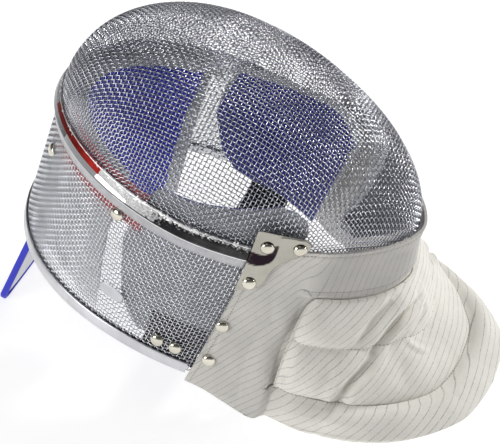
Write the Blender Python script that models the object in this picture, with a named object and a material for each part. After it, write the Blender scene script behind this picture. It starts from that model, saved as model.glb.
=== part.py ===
"""Fencing mask, lying face up on its back.

The mask is drawn in its own frame: X to the wearer's left, Y towards the crown, Z out
through the face. The plane z = 0 is the edge of the front mesh, where the chrome band
starts. An empty then pitches the mask so that it rests on the bib's hem and on the tongue.
"""

import math

import bmesh
import bpy
from mathutils import Matrix, Vector

MM = 0.001

# How the mask lies: crown end raised, and height of the mask frame over the floor.
PITCH = math.radians(21.0)
REST_HEIGHT = 170 * MM

# Egg-shaped outlines of the mesh body, at the band and at the rear rim.
BAND_OUTLINE = dict(half_width=86.0 * MM, centre=0.0, up=130.0 * MM, down=144.9 * MM, power=1.65)
RIM_OUTLINE = dict(half_width=107.8 * MM, centre=-5.0 * MM, up=140.7 * MM, down=162.5 * MM, power=2.0)
RIM_DEPTH = 132 * MM

# Front dome: height, place of its peak, and the fullness of its sections.
DOME_HEIGHT = 86.3 * MM
DOME_PEAK_Y = 23.6 * MM
CROWN_POWER, CHIN_POWER = 2.09, 2.2
SECTION_POWER = 2.28
CHIN_LIFT = 13 * MM
DOME_RISES = (0, 5, 12, 20, 30, 42, 56, 72)
DOME_STATIONS = 44

MESH_THICKNESS = 2.0 * MM
MESH_INSET = 0.5 * MM
GAP = 0.35 * MM
JAW_Y = -53 * MM

# Side mesh strip, and where the pieces at the jaw stop, as y at the band and at the rim.
SIDE_TOP_DEPTH = 5.6 * MM
SIDE_MESH_END = (-64 * MM, -52 * MM)
BAND_END_Y = -52.3 * MM
RIM_END_Y = -41 * MM
RIM_EDGE = -124 * MM
RIM_DROP = 7 * MM
MESH_IN_RIM = 1.9 * MM
ARCH_STATIONS = 41

# Profiles in mm: offset out from the wall, and height: z on the band, and over the rear edge on the rim.
BAND_PROFILE = (
    (0.9, 0.6), (2.5, -3.2), (3.75, -7.6), (4.05, -8.8), (3.6, -10.2), (1.3, -18.6),
    (0.45, -18.6), (2.7, -10.0), (2.85, -8.2), (0.1, 0.2),
)
RIM_PROFILE = (
    (1.35, 9.0), (1.35, 0.7), (0.8, 0.0), (-2.8, 0.0), (-3.35, 0.7), (-3.35, 9.0),
    (-2.4, 9.0), (-2.4, 1.5), (0.4, 1.5), (0.4, 9.0),
)

# Bib: fabric wall, and sections from the flap edge at the jaw to the middle of the throat.
# Each row: y of the top edge, then the collar's lower edge, the middle and the hem, in mm.
FABRIC = 2.0 * MM
BIB_COLUMNS = ("top_y", "collar_x", "collar_y", "mid_x", "mid_y", "mid_z", "hem_x", "hem_y", "hem_lift")
BIB_SECTIONS = (
    (-55.5, 81.0, -53.0, 93.0, -48.0, -82.0, 104.0, -42.5, 37.0),
    (-68.0, 77.0, -67.0, 90.0, -65.0, -84.0, 102.0, -58.0, 28.0),
    (-81.0, 72.0, -81.0, 88.0, -82.0, -84.0, 99.5, -77.0, 12.0),
    (-93.0, 67.0, -93.0, 86.0, -97.0, -83.0, 97.5, -96.0, 1.5),
    (-104.0, 61.0, -104.0, 79.5, -106.0, -84.0, 88.5, -105.0, 2.5),
    (-119.0, 50.0, -121.0, 74.0, -128.0, -83.0, 91.0, -140.0, 2.5),
    (-131.0, 38.0, -133.0, 64.0, -149.5, -81.0, 85.5, -173.5, 2.5),
    (-139.0, 25.5, -142.0, 46.0, -168.0, -80.5, 66.5, -205.3, 2.5),
    (-143.5, 12.5, -148.0, 24.0, -181.5, -80.0, 39.3, -226.2, 2.5),
    (-144.9, 0.0, -150.0, 0.0, -185.5, -79.5, 0.0, -232.2, 2.5),
)
HEM_SKEW = 11.2 * MM
COLLAR_RISE = 1.5 * MM
COLLAR_DEPTH = 29.0 * MM
LEVELS = (0.0, 0.22, 0.58, 1.0)
BIB_ROWS = (0.0, 0.11, 0.22, 0.33, 0.45, 0.58, 0.72, 0.86, 1.0)
BIB_STEPS = 2

# Quilted front of the bib over the fabric: first section, rows and thicknesses in mm.
PANEL_SECTION = 4
PANEL_PUFFS = (
    (0.25, 2.5), (0.32, 5.0), (0.40, 7.0), (0.47, 7.0), (0.51, 4.5), (0.55, 7.0), (0.63, 8.5), (0.71, 7.5), (0.77, 4.0),
)
BORDER_PUFFS = ((0.785, 4.0), (0.82, 8.0), (0.87, 9.5), (0.93, 9.5), (1.0, 8.5))
HEM_ROLL = ((9.3, 5.0), (8.6, 2.0), (6.5, 0.0), (1.3, 0.0))

# Pads inside, mm thick, set in from the mesh by the clips and tabs behind them.
PAD_OFFSET = 5.6 * MM
CROWN_PAD = dict(thickness=16 * MM, top=-6 * MM, bottom=-116 * MM, stations=25)
CROWN_PAD_END = dict(
    start=0.46, full=0.8, bottom=-150 * MM, lean=24 * MM, lean_from=-60 * MM, y=47.5 * MM, slope=6 * MM,
    bevel=9 * MM, bevel_growth=10 * MM,
)
CHEEK_PAD = dict(thickness=14 * MM, end_front=-86 * MM, end_rear=-70 * MM)
CHEEK_TOPS = ((39, -1), (28, 2), (-6, 8), (-35, 17), (-62, 28), (-74, 24), (-86, 12))
CHEEK_STARTS = ((0.0, 28), (0.2, 35), (0.4, 38.5), (0.6, 33), (0.8, 26), (0.9, 17.5), (1.0, 5))
CHEEK_REAR = -111.5 * MM

# Chin pad: a shelf across the throat. Places run from its free edge (0) to the mesh (1), heights in mm.
CHIN_PAD = dict(edge_y=-97 * MM, inset=3.3 * MM, half_width=44 * MM, stations=13)
CHIN_TOP = ((0.0, 30.5), (0.05, 33.5), (0.45, 31.5), (0.94, 25.0))
CHIN_UNDER = ((1.0, 18.0), (0.5, 19.0), (0.06, 21.5), (0.0, 24.5))

# Strap across the back, and the two tabs that hold it.
STRAP = dict(width=33 * MM, thickness=1.6 * MM, centre_y=-22 * MM)
STRAP_TURN = (-113, -117, -121)
STRAP_BEND = ((2.5, 5), (8, 8.5), (22, 10), (50, 11), (80, 11.5))
TAB = dict(front_y=-3 * MM, rear_y=-45 * MM, top=-86 * MM, bottom=-121 * MM, seat=-3.7 * MM, thickness=1.5 * MM)

# Tongue behind the crown.
TONGUE = dict(half_width=48.5 * MM, thickness=5.6 * MM, corner=14 * MM, binding=5 * MM)
TONGUE_TOP = (111.9 * MM, -119 * MM)
TONGUE_LEAN = 0.15
SPRING = dict(half_width=12.5 * MM, thickness=1.0 * MM)
SPRING_PATH = ((128.7, -58), (130.2, -90), (130.8, -118), (129.0, -135), (124.0, -143))
SPRING_SEAT = (30 * MM, 48 * MM, 66 * MM)

# Corner plates at the jaw, in mm: y, lowest z and highest z of each section.
PLATE_SECTIONS = (
    (-50.5, -36, 19.5), (-55, -33.5, 20), (-60, -30.5, 20), (-65, -27, 20), (-67.5, -13, 20),
    (-72, -6, 20), (-77, -1, 20), (-80.5, 3, 20), (-83.5, 8, 18.5), (-85.5, 11.5, 16),
)
PLATE_THICKNESS = 1.0 * MM
PLATE_SEAT = 3.6 * MM
PLATE_ROWS = 9

# Rivets: wall they sit on, y and z in mm on that wall.
RIVET_RADIUS = 5.0 * MM
RIVET_HEIGHT = 2.4 * MM
RIVETS = (
    ("pad_rivet_crown", "mesh", 114, -39),
    ("pad_rivet_temple", "mesh", 44.5, -24.5),
    ("tab_rivet_front", "mesh", -14, -106),
    ("tab_rivet_rear", "mesh", -28, -106),
    ("plate_rivet_top", "plate", -59.5, 7.5),
    ("plate_rivet_front", "plate", -79.5, 10.5),
    ("plate_rivet_tail", "plate", -57.5, -27),
    ("flap_rivet_upper", "flap", -52.5, -71),
    ("flap_rivet_lower", "flap", -53.0, -104),
)
BADGE = dict(y=29.7 * MM, z=-88 * MM, length=20 * MM, height=10 * MM, thickness=0.8 * MM)


def clear_scene():
    for item in list(bpy.data.objects):
        bpy.data.objects.remove(item, do_unlink=True)


def material(name, colour, roughness, metallic=0.0):
    made = bpy.data.materials.new(name)
    made.use_nodes = True
    shader = made.node_tree.nodes["Principled BSDF"]
    shader.inputs["Base Color"].default_value = (*colour, 1.0)
    shader.inputs["Roughness"].default_value = roughness
    shader.inputs["Metallic"].default_value = metallic
    return made


def signed_power(value, power):
    return math.copysign(abs(value) ** power, value)


def egg(angle, half_width, centre, up, down, power):
    """Point of an egg outline. Angle 0 is the crown and pi the chin."""
    side, along = math.sin(angle), math.cos(angle)
    if along >= 0:
        return Vector((half_width * side, centre + up * along))
    return Vector((half_width * signed_power(side, 2 / power), centre - down * abs(along) ** (2 / power)))


def egg_width(y, half_width, centre, up, down, power):
    """Half width of an egg outline at y."""
    offset = y - centre
    reach, bend = (up, 2.0) if offset > 0 else (down, power)
    return half_width * max(0.0, 1 - abs(offset / reach) ** bend) ** (1 / bend)


def egg_angle(y, centre, down, power, up, **_):
    """Angle at which an egg outline reaches y."""
    offset = y - centre
    if offset > 0:
        return math.acos(min(1.0, offset / up))
    return math.pi - math.acos(min(1.0, (-offset / down) ** (power / 2)))


def outline_at(depth):
    """Outline of the side wall at a depth behind the band."""
    share = depth / RIM_DEPTH
    return {key: BAND_OUTLINE[key] + share * (RIM_OUTLINE[key] - BAND_OUTLINE[key]) for key in BAND_OUTLINE}


def end_y(pair, depth):
    return pair[0] + (pair[1] - pair[0]) * depth / RIM_DEPTH


def edge_height(y):
    """Height of the front mesh's edge: it lifts a little under the chin."""
    return CHIN_LIFT * max(0.0, (JAW_Y - y) / (JAW_Y + BAND_OUTLINE["down"]))


def dome_profile(y, inset=0.0):
    """Height of the front mesh along the middle."""
    if y > DOME_PEAK_Y:
        reach, power = BAND_OUTLINE["up"] - DOME_PEAK_Y, CROWN_POWER
    else:
        reach, power = BAND_OUTLINE["down"] + DOME_PEAK_Y, CHIN_POWER
    share = min(1.0, abs(y - DOME_PEAK_Y) / (reach - inset))
    return (DOME_HEIGHT - inset) * (1 - share ** power) ** (1 / power)


def inset_outline(inset):
    smaller = dict(BAND_OUTLINE)
    for key in ("half_width", "up", "down"):
        smaller[key] -= inset
    return smaller


def dome_point(angle, rise, inset=0.0):
    """Point of the front mesh: rise 0 is the edge and 90 degrees the peak."""
    outline = inset_outline(inset)
    base = egg(angle, **outline)
    share = math.cos(math.radians(rise))
    x = base.x * share
    y = DOME_PEAK_Y + (base.y - DOME_PEAK_Y) * share
    edge = edge_height(y)
    width = max(egg_width(y, **outline), 1e-6)
    section = max(0.0, 1 - min(1.0, abs(x) / width) ** SECTION_POWER) ** (1 / SECTION_POWER)
    return Vector((x, y, edge + max(0.0, dome_profile(y, inset) - edge) * section))


def wall_point(angle, z):
    """Point of the mesh body's wall: the side wall below the band, its edge above."""
    point = egg(angle, **outline_at(max(0.0, -z)))
    return Vector((point.x, point.y, z))


def out_from(angle, z):
    """Level direction out of the wall."""
    step = 1e-3
    along = wall_point(angle + step, z) - wall_point(angle - step, z)
    return Vector((along.y, -along.x, 0)).normalized() * (-1 if along.x == 0 and along.y == 0 else 1)


def wall_offset(angle, offset, z):
    """Point at an offset out of the wall, which is negative inwards."""
    outward = out_from(angle, z)
    if outward.dot(Vector((math.sin(angle), math.cos(angle), 0))) < 0:
        outward = -outward
    return wall_point(angle, z) + outward * offset


def side_surface(y, z):
    """Point on the right-hand side of the mesh body (x > 0) at y and z."""
    if z <= 0:
        return Vector((egg_width(y, **outline_at(-z)), y, z))
    edge = edge_height(y)
    rise = min(1.0, max(0.0, (z - edge) / max(dome_profile(y) - edge, 1e-6)))
    narrowing = (1 - rise ** SECTION_POWER) ** (1 / SECTION_POWER)
    return Vector((egg_width(y, **BAND_OUTLINE) * narrowing, y, z))


def side_normal(y, z):
    step = 0.5 * MM
    along = side_surface(y + step, z) - side_surface(y - step, z)
    up = side_surface(y, z + step) - side_surface(y, z - step)
    normal = along.cross(up).normalized()
    return normal if normal.x > 0 else -normal


def side_offset(y, z, offset):
    return side_surface(y, z) + side_normal(y, z) * offset


def mirrored(points):
    return [Vector((-point.x, point.y, point.z)) for point in points]


def spread(first, last, count):
    return [first + (last - first) * step / (count - 1) for step in range(count)]


def catmull(points, place):
    """Smooth curve through points (any dimension), at a place measured in points."""
    last = len(points) - 1
    start = min(int(place), last - 1)
    share = place - start
    before = points[max(start - 1, 0)]
    here, there = points[start], points[start + 1]
    after = points[min(start + 2, last)]
    result = []
    for a, b, c, d in zip(before, here, there, after):
        result.append(0.5 * (2 * b + (c - a) * share + (2 * a - 5 * b + 4 * c - d) * share ** 2
                             + (3 * b - a - 3 * c + d) * share ** 3))
    return result


def floor_z(y):
    """z of the floor in the mask's frame."""
    return (-REST_HEIGHT - y * math.sin(PITCH)) / math.cos(PITCH)


def keep_above_floor(point, clearance=0.0):
    lowest = floor_z(point.y) + clearance / math.cos(PITCH)
    return Vector((point.x, point.y, max(point.z, lowest)))


def make_object(name, bm, finish, parent):
    bmesh.ops.remove_doubles(bm, verts=bm.verts, dist=1e-6)
    bmesh.ops.triangulate(bm, faces=bm.faces, ngon_method="EAR_CLIP")
    bmesh.ops.recalc_face_normals(bm, faces=bm.faces)
    if bm.calc_volume(signed=True) < 0:
        bmesh.ops.reverse_faces(bm, faces=bm.faces)
    mesh = bpy.data.meshes.new(name)
    bm.to_mesh(mesh)
    bm.free()
    mesh.materials.append(finish)
    mesh.shade_smooth()
    mesh.set_sharp_from_angle(angle=math.radians(35))
    made = bpy.data.objects.new(name, mesh)
    bpy.context.scene.collection.objects.link(made)
    made.parent = parent
    return made


def loft(name, rings, finish, parent, closed=False):
    """Skin closed rings of points. A ring of one point is a tip, and open ends are capped."""
    bm = bmesh.new()
    rows = [[bm.verts.new(point) for point in ring] for ring in rings]
    pairs = list(zip(rows, rows[1:])) + ([(rows[-1], rows[0])] if closed else [])
    for low, high in pairs:
        count = max(len(low), len(high))
        for index in range(count):
            after = (index + 1) % count
            corners = [low[index % len(low)], low[after % len(low)], high[after % len(high)], high[index % len(high)]]
            bm.faces.new(list(dict.fromkeys(corners)))
    if not closed:
        for end in (rows[0], rows[-1]):
            if len(end) > 2:
                bm.faces.new(end)
    return make_object(name, bm, finish, parent)


def slab(name, outer, inner, finish, parent):
    """Closed solid between two grids of points that share their layout."""
    rings = [list(top) + list(reversed(bottom)) for top, bottom in zip(outer, inner)]
    return loft(name, rings, finish, parent)


def build_front_mesh(finish, parent):
    angles = spread(0, 2 * math.pi, DOME_STATIONS + 1)[:-1]

    def lip(angle, flared, straight):
        """Point of the lip, flared under the band and straight under the collar."""
        y = wall_point(angle, 0).y
        share = min(1.0, max(0.0, (y - 1.5 * JAW_Y) / (-0.5 * JAW_Y)))
        offset = straight[0] + (flared[0] - straight[0]) * share
        height = straight[1] + (flared[1] - straight[1]) * share
        point = wall_offset(angle, offset * MM, 0.0)
        return Vector((point.x, point.y, edge_height(y) + height * MM))

    inner = MESH_THICKNESS + MESH_INSET
    rings = [[dome_point(0, 90, inner)]]
    rings += [[dome_point(angle, rise, inner) for angle in angles] for rise in reversed(DOME_RISES)]
    rings += [[lip(angle, flared, straight) for angle in angles] for flared, straight in (
        ((-2.0, -1.0), (-2.5, -1.0)),
        ((-0.7, -4.9), (-2.5, -3.0)),
        ((0.9, -4.1), (-0.5, -3.0)),
        ((-0.45, -0.3), (-0.5, -0.4)),
    )]
    for rise in DOME_RISES:
        inset = MESH_INSET * max(0.0, 1 - rise / 12)
        rings.append([dome_point(angle, rise, inset) for angle in angles])
    rings.append([dome_point(0, 90)])
    return loft("front_mesh", rings, finish, parent)


def arch_angles(z, ends, count):
    """Angles from the right jaw over the crown to the left jaw, at one height."""
    outline = outline_at(max(0.0, -z))
    reach = egg_angle(end_y(ends, max(0.0, -z)), **outline)
    return spread(-reach, reach, count)


def arch_sweep(name, profile, ends, finish, parent):
    """Sweep a profile along the wall from jaw to jaw. Each place is an offset, and z as a function of y."""
    columns = []
    for offset, height in profile:
        column = []
        for angle in arch_angles(height(0.0), ends, ARCH_STATIONS):
            z = height(wall_point(angle, height(0.0)).y)
            column.append(wall_offset(angle, offset, z))
        columns.append(column)
    return loft(name, list(zip(*columns)), finish, parent)


def level_at(z):
    return lambda y: z


def rim_edge(y):
    """Height of the rear rim's edge: it drops towards the crown."""
    share = min(1.0, max(0.0, y / RIM_OUTLINE["up"]))
    return RIM_EDGE - RIM_DROP * share * share * (3 - 2 * share)


def over_rim(height):
    return lambda y: rim_edge(y) + height


def side_height(share):
    return lambda y: -SIDE_TOP_DEPTH + share * (rim_edge(y) + MESH_IN_RIM + SIDE_TOP_DEPTH)


def build_side_mesh(finish, parent):
    heights = [side_height(share) for share in spread(0.0, 1.0, 4)]
    profile = [(0.0, z) for z in heights] + [(-MESH_THICKNESS, z) for z in reversed(heights)]
    return arch_sweep("side_mesh", profile, SIDE_MESH_END, finish, parent)


def build_trims(finishes, parent):
    band = [(offset * MM, level_at(z * MM)) for offset, z in BAND_PROFILE]
    arch_sweep("chrome_band", band, (BAND_END_Y, BAND_END_Y), finishes["chrome"], parent)
    rim = [(offset * MM, over_rim(height * MM)) for offset, height in RIM_PROFILE]
    arch_sweep("rear_rim", rim, (RIM_END_Y, RIM_END_Y), finishes["rim"], parent)


def bib_point(section, level):
    """Outer surface of the bib's fabric: section 0 is the flap edge, and past the middle it is mirrored."""
    last = len(BIB_SECTIONS) - 1
    row = dict(zip(BIB_COLUMNS, catmull(BIB_SECTIONS, min(section, 2 * last - section))))
    top_y = max(row["top_y"] * MM, -BAND_OUTLINE["down"])
    top_x = egg_width(top_y, **BAND_OUTLINE)
    near_chin = (top_y / BAND_OUTLINE["down"]) ** 6
    shift = (FABRIC + GAP) * Vector((1 - near_chin, -near_chin, 0))
    rise = edge_height(top_y) + COLLAR_RISE * min(1.0, max(0.0, (JAW_Y - 10 * MM - top_y) / (10 * MM)))
    hem_y = row["hem_y"] * MM
    path = [
        Vector((top_x, top_y, rise)) + shift,
        Vector((row["collar_x"] * MM, row["collar_y"] * MM, -COLLAR_DEPTH)),
        Vector((row["mid_x"] * MM, row["mid_y"] * MM, row["mid_z"] * MM)),
        Vector((row["hem_x"] * MM, hem_y, floor_z(hem_y) + row["hem_lift"] * MM)),
    ]
    step = max(index for index in range(3) if level >= LEVELS[index])
    place = step + (level - LEVELS[step]) / (LEVELS[step + 1] - LEVELS[step])
    point = Vector(catmull(path, place))
    side = -1 if section <= last else 1
    skew = HEM_SKEW * level * max(0.0, (-150 * MM - point.y) / (88 * MM))
    return Vector((side * point.x - skew, point.y, point.z))


def bib_normal(section, level):
    last = 2 * (len(BIB_SECTIONS) - 1)
    step = 0.02
    across = bib_point(min(section + step, last), level) - bib_point(max(section - step, 0), level)
    down = bib_point(section, min(level + step, 1.0)) - bib_point(section, max(level - step, 0.0))
    return down.cross(across).normalized()


def clear_of_wall(point, clearance):
    """Move a point out to a clearance from the mesh body's wall, if it is nearer."""
    outline = outline_at(min(RIM_DEPTH, max(0.0, -point.z)))
    side, along = abs(point.x) / outline["half_width"], abs(point.y - outline["centre"]) / outline["down"]
    power = outline["power"]
    level = (side ** power + along ** power) ** (1 / power)
    slope = Vector((math.copysign(side ** (power - 1) / outline["half_width"], point.x),
                    -along ** (power - 1) / outline["down"], 0)) * level ** (1 - power)
    distance = (level - 1) / slope.length
    return point + slope.normalized() * max(0.0, clearance - distance)


def bib_layer(sections, offset, clearance):
    """Grid of points at an offset out of the bib's fabric, clear of the wall and the floor."""
    return [[keep_above_floor(clear_of_wall(bib_point(s, v) + bib_normal(s, v) * offset, clearance), GAP)
             for v in BIB_ROWS] for s in sections]


def on_rows(column, level):
    """Point at a level on a straight-sided column of the bib's fabric."""
    step = max(index for index in range(len(BIB_ROWS) - 1) if level >= BIB_ROWS[index])
    return column[step].lerp(column[step + 1], (level - BIB_ROWS[step]) / (BIB_ROWS[step + 1] - BIB_ROWS[step]))


def build_bib(finishes, parent):
    last = 2 * (len(BIB_SECTIONS) - 1)
    sections = spread(0, last, BIB_STEPS * last + 1)
    shell = bib_layer(sections, 0.0, FABRIC + GAP)
    slab("bib_shell", shell, bib_layer(sections, -FABRIC, GAP), finishes["fabric"], parent)
    for name, puffs in (("bib_panel", PANEL_PUFFS), ("bib_border", BORDER_PUFFS)):
        rings = []
        for column in range(BIB_STEPS * PANEL_SECTION, BIB_STEPS * (last - PANEL_SECTION) + 1):
            section = sections[column]
            edge = min(section - PANEL_SECTION, last - PANEL_SECTION - section)
            fullness = 0.6 + 0.4 * min(1.0, edge / 0.8)
            under, over = [], []
            for level, puff in puffs:
                normal = bib_normal(section, level)
                under.append(on_rows(shell[column], level) + normal * 2 * GAP)
                over.append(under[-1] + normal * puff * MM * fullness)
            if name == "bib_border":
                hem = shell[column][-1]
                normal = bib_normal(section, 1.0)
                outward = Vector((normal.x, normal.y, 0)).normalized()
                for reach, height in HEM_ROLL:
                    place = hem + outward * reach * MM * (fullness if reach > 2 else 1.0)
                    over.append(Vector((place.x, place.y, floor_z(place.y) + height * MM)))
            rings.append(under + list(reversed(over)))
        loft(name, rings, finishes["fabric"], parent)


def plate_lift(y, z):
    """Offset of the corner plate: it humps over the end of the band."""
    crest, width = -9 * MM, 11 * MM
    fade = min(1.0, max(0.0, (y + 74 * MM) / (18 * MM)))
    hump = math.exp(-((z - crest) / width) ** 2) * fade * fade * (3 - 2 * fade)
    return PLATE_SEAT + 1.6 * MM * hump


def build_plates(finish, parent):
    outer, inner = [], []
    for y, low, high in PLATE_SECTIONS:
        heights = spread(low * MM, high * MM, PLATE_ROWS)
        outer.append([side_offset(y * MM, z, plate_lift(y * MM, z) + PLATE_THICKNESS) for z in heights])
        inner.append([side_offset(y * MM, z, plate_lift(y * MM, z)) for z in heights])
    slab("corner_plate_left", outer, inner, finish, parent)
    slab("corner_plate_right", [mirrored(row) for row in outer], [mirrored(row) for row in inner], finish, parent)


def crown_pad_place(turn, level, depth):
    """Point of the crown pad: turn runs from -1 to 1, level down from the top, and depth into the mask.

    The pad's two ends reach past the rim, lean in, and are cut at a bevel."""
    top, end = CROWN_PAD["top"], CROWN_PAD_END
    share = min(1.0, max(0.0, (abs(turn) - end["start"]) / (end["full"] - end["start"])))
    share = share * share * (3 - 2 * share)
    bottom = CROWN_PAD["bottom"] + (end["bottom"] - CROWN_PAD["bottom"]) * share
    z = top + (bottom - top) * level
    lean = end["lean"] * share * max(0.0, (end["lean_from"] - z) / (end["lean_from"] - end["bottom"]))
    end_y = end["y"] + end["slope"] * level
    end_y += (end["bevel"] + end["bevel_growth"] * level) * depth / CROWN_PAD["thickness"]
    angle = turn * egg_angle(end_y, **outline_at(-z))
    return wall_offset(angle, -PAD_OFFSET - lean - depth, z)


def build_crown_pad(finish, parent):
    thickness, soft = CROWN_PAD["thickness"], 0.25
    profile = (
        (0.035, 0.0), (0.55, 0.0), (0.8, 0.0), (1.0, 0.0), (1.0, 1 - soft), (0.965, 1.0), (0.8, 1.0), (0.55, 1.0),
        (0.035, 1.0), (0.0, 1 - soft), (0.0, soft),
    )
    turns = spread(-1.0, 1.0, CROWN_PAD["stations"])
    rings = [[crown_pad_place(turn, level, depth * thickness) for level, depth in profile] for turn in turns]
    loft("crown_pad", rings, finish, parent)


def between(table, place):
    """Value in a table of places and values, both in order."""
    for (here, value), (there, following) in zip(table, table[1:]):
        share = (place - here) / (there - here)
        if share <= 1:
            return value + (following - value) * max(0.0, share)
    return table[-1][1]


def build_cheek_pads(finish, parent):
    thickness = CHEEK_PAD["thickness"]
    soft = 0.22
    rings = []
    for share in spread(0.0, 1.0, 12):
        def place(level, depth, share=share):
            """Point at a level from the pad's front (0) to its rear (1)."""
            start = between(CHEEK_STARTS, level) * MM
            end = CHEEK_PAD["end_front"] + (CHEEK_PAD["end_rear"] - CHEEK_PAD["end_front"]) * level
            y = start + (end - start) * share
            top = between(CHEEK_TOPS, y / MM) * MM
            z = top + (CHEEK_REAR - top) * level
            inset = 5 * MM * min(1.0, max(0.0, (-50 * MM - y) / (40 * MM)))
            return side_offset(y, z, -PAD_OFFSET - inset - depth)

        back = [place(level, 0) for level in (0.03, 0.35, 0.7, 0.98)]
        front = [place(level, thickness * d) for level, d in
                 ((1.0, soft), (1.0, 1 - soft), (0.94, 1.0), (0.65, 1.0), (0.35, 1.0), (0.06, 1.0), (0.0, 1 - soft),
                  (0.0, soft))]
        rings.append(back + front)
    loft("cheek_pad_left", rings, finish, parent)
    loft("cheek_pad_right", [mirrored(ring) for ring in rings], finish, parent)


def inner_y(x, z, inset):
    """y, towards the chin, where the inside of the front mesh is at x and z."""
    outline = inset_outline(inset)
    near, far = CHIN_PAD["edge_y"], -outline["down"]
    for _ in range(40):
        y = (near + far) / 2
        edge = edge_height(y)
        rise = min(1.0, max(0.0, (z - edge) / max(dome_profile(y, inset) - edge, 1e-6)))
        width = egg_width(y, **outline) * (1 - rise ** SECTION_POWER) ** (1 / SECTION_POWER)
        near, far = (y, far) if width > abs(x) else (near, y)
    return near


def build_chin_pad(finish, parent):
    start, reach = CHIN_PAD["edge_y"], CHIN_PAD["half_width"]
    rings = []
    for x in spread(-reach, reach, CHIN_PAD["stations"]):
        ring = []
        for place, z in CHIN_TOP + CHIN_UNDER:
            end = inner_y(x, z * MM, CHIN_PAD["inset"])
            ring.append(Vector((x, start + (end - start) * place, z * MM)))
        rings.append(ring)
    loft("chin_pad", rings, finish, parent)


def build_strap(finish, parent):
    outer, inner = [], []
    seat = TAB["seat"]
    for y in spread(TAB["front_y"], TAB["rear_y"], 5):
        heights = spread(TAB["top"], TAB["bottom"], 4)
        outer.append([side_offset(y, z, seat) for z in heights])
        inner.append([side_offset(y, z, seat - TAB["thickness"]) for z in heights])
    slab("strap_tab_left", outer, inner, finish, parent)
    slab("strap_tab_right", [mirrored(row) for row in outer], [mirrored(row) for row in inner], finish, parent)
    low, high = STRAP["centre_y"] - STRAP["width"] / 2, STRAP["centre_y"] + STRAP["width"] / 2
    seat -= TAB["thickness"] + 2 * GAP
    path = []
    for z in STRAP_TURN:
        reach = min(side_offset(y, z * MM, seat).x for y in (low, STRAP["centre_y"], high))
        path.append(Vector((reach, z * MM)))
    for inward, drop in STRAP_BEND:
        path.append(Vector((path[2].x - inward * MM, path[2].y - drop * MM)))
    path += [Vector((-point.x, point.y)) for point in reversed(path)]
    rings = []
    for index, point in enumerate(path):
        along = path[min(index + 1, len(path) - 1)] - path[max(index - 1, 0)]
        inward = Vector((along.y, -along.x)).normalized() * STRAP["thickness"]
        rings.append([Vector((p.x, y, p.y)) for p, y in ((point, low), (point, high), (point + inward, high),
                                                        (point + inward, low))])
    loft("back_strap", rings, finish, parent)


def tongue_place(x, down, depth):
    """Point of the tongue: distance down from its top, and depth out of its middle."""
    lean = math.atan(TONGUE_LEAN)
    y = TONGUE_TOP[0] + down * math.sin(lean) + depth * math.cos(lean)
    z = TONGUE_TOP[1] - down * math.cos(lean) + depth * math.sin(lean)
    return keep_above_floor(Vector((x, y, z)))


def tongue_length():
    """Length at which the tongue's foot meets the floor."""
    lean = math.atan(TONGUE_LEAN)
    height = REST_HEIGHT + TONGUE_TOP[0] * math.sin(PITCH) + TONGUE_TOP[1] * math.cos(PITCH)
    return height / (math.cos(lean) * math.cos(PITCH) - math.sin(lean) * math.sin(PITCH))


def tongue_edge(inset, length):
    """Outline of the tongue from its top right corner round the foot, with its outward directions."""
    half, corner = TONGUE["half_width"] - inset, TONGUE["corner"] - inset
    foot = length - inset
    path = [(Vector((-half, down)), Vector((-1, 0))) for down in spread(0.0, foot - corner, 4)]
    for side, start in ((-1, 180), (1, 90)):
        centre = Vector((side * (half - corner), foot - corner))
        for turn in (15, 40, 65, 90) if side < 0 else (0, 25, 50, 75):
            angle = math.radians(start - turn)
            way = Vector((math.cos(angle), math.sin(angle)))
            path.append((centre + way * corner, way))
    path += [(Vector((half, down)), Vector((1, 0))) for down in spread(foot - corner, 0.0, 4)]
    return path


def build_tongue(finishes, parent):
    length = tongue_length()
    half = TONGUE["thickness"] / 2
    section = ((0.0, -0.6), (0.3, -0.95), (0.75, -0.95), (1.0, -0.5), (1.0, 0.5), (0.75, 0.95), (0.3, 0.95), (0.0, 0.6))
    rings = []
    for point, way in tongue_edge(TONGUE["binding"], length):
        rings.append([tongue_place(point.x + way.x * out * TONGUE["binding"],
                                   point.y + way.y * out * TONGUE["binding"], depth * half)
                      for out, depth in section])
    loft("tongue_binding", rings, finishes["blue"], parent)
    outline = [point for point, _ in tongue_edge(TONGUE["binding"] + GAP, length)]
    faces = [[tongue_place(point.x, point.y, depth) for point in outline] for depth in (-0.8 * half, 0.8 * half)]
    loft("tongue_pad", faces, finishes["lining"], parent)
    thick = SPRING["thickness"]
    path = [Vector((0, y * MM, z * MM)) for y, z in SPRING_PATH]
    path += [tongue_place(0, down, 0.8 * half + GAP + thick) for down in SPRING_SEAT]
    rings = [[point + Vector((x, dy, 0)) for x, dy in (
        (-SPRING["half_width"], 0), (SPRING["half_width"], 0),
        (SPRING["half_width"], -thick), (-SPRING["half_width"], -thick))] for point in path]
    loft("tongue_spring", rings, finishes["rim"], parent)


def rivet_seat(wall, y, z):
    offsets = {"mesh": GAP, "flap": FABRIC + 3 * GAP, "plate": plate_lift(y, z) + PLATE_THICKNESS + GAP}
    return side_offset(y, z, offsets[wall]), side_normal(y, z)


def build_rivets(finish, parent):
    profile = ((1.0, 0.0), (0.98, 0.3), (0.86, 0.62), (0.6, 0.86), (0.3, 0.97))
    for name, wall, y, z in RIVETS:
        seat, normal = rivet_seat(wall, y * MM, z * MM)
        turn = normal.to_track_quat("Z", "Y").to_matrix()
        rings = []
        for radius, height in profile:
            ring = []
            for index in range(12):
                angle = math.tau * index / 12
                local = Vector((radius * RIVET_RADIUS * math.cos(angle), radius * RIVET_RADIUS * math.sin(angle),
                                height * RIVET_HEIGHT))
                ring.append(seat + turn @ local)
            rings.append(ring)
        rings.append([seat + normal * RIVET_HEIGHT])
        loft(name + "_left", rings, finish, parent)
        loft(name + "_right", [mirrored(ring) for ring in rings], finish, parent)


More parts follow.
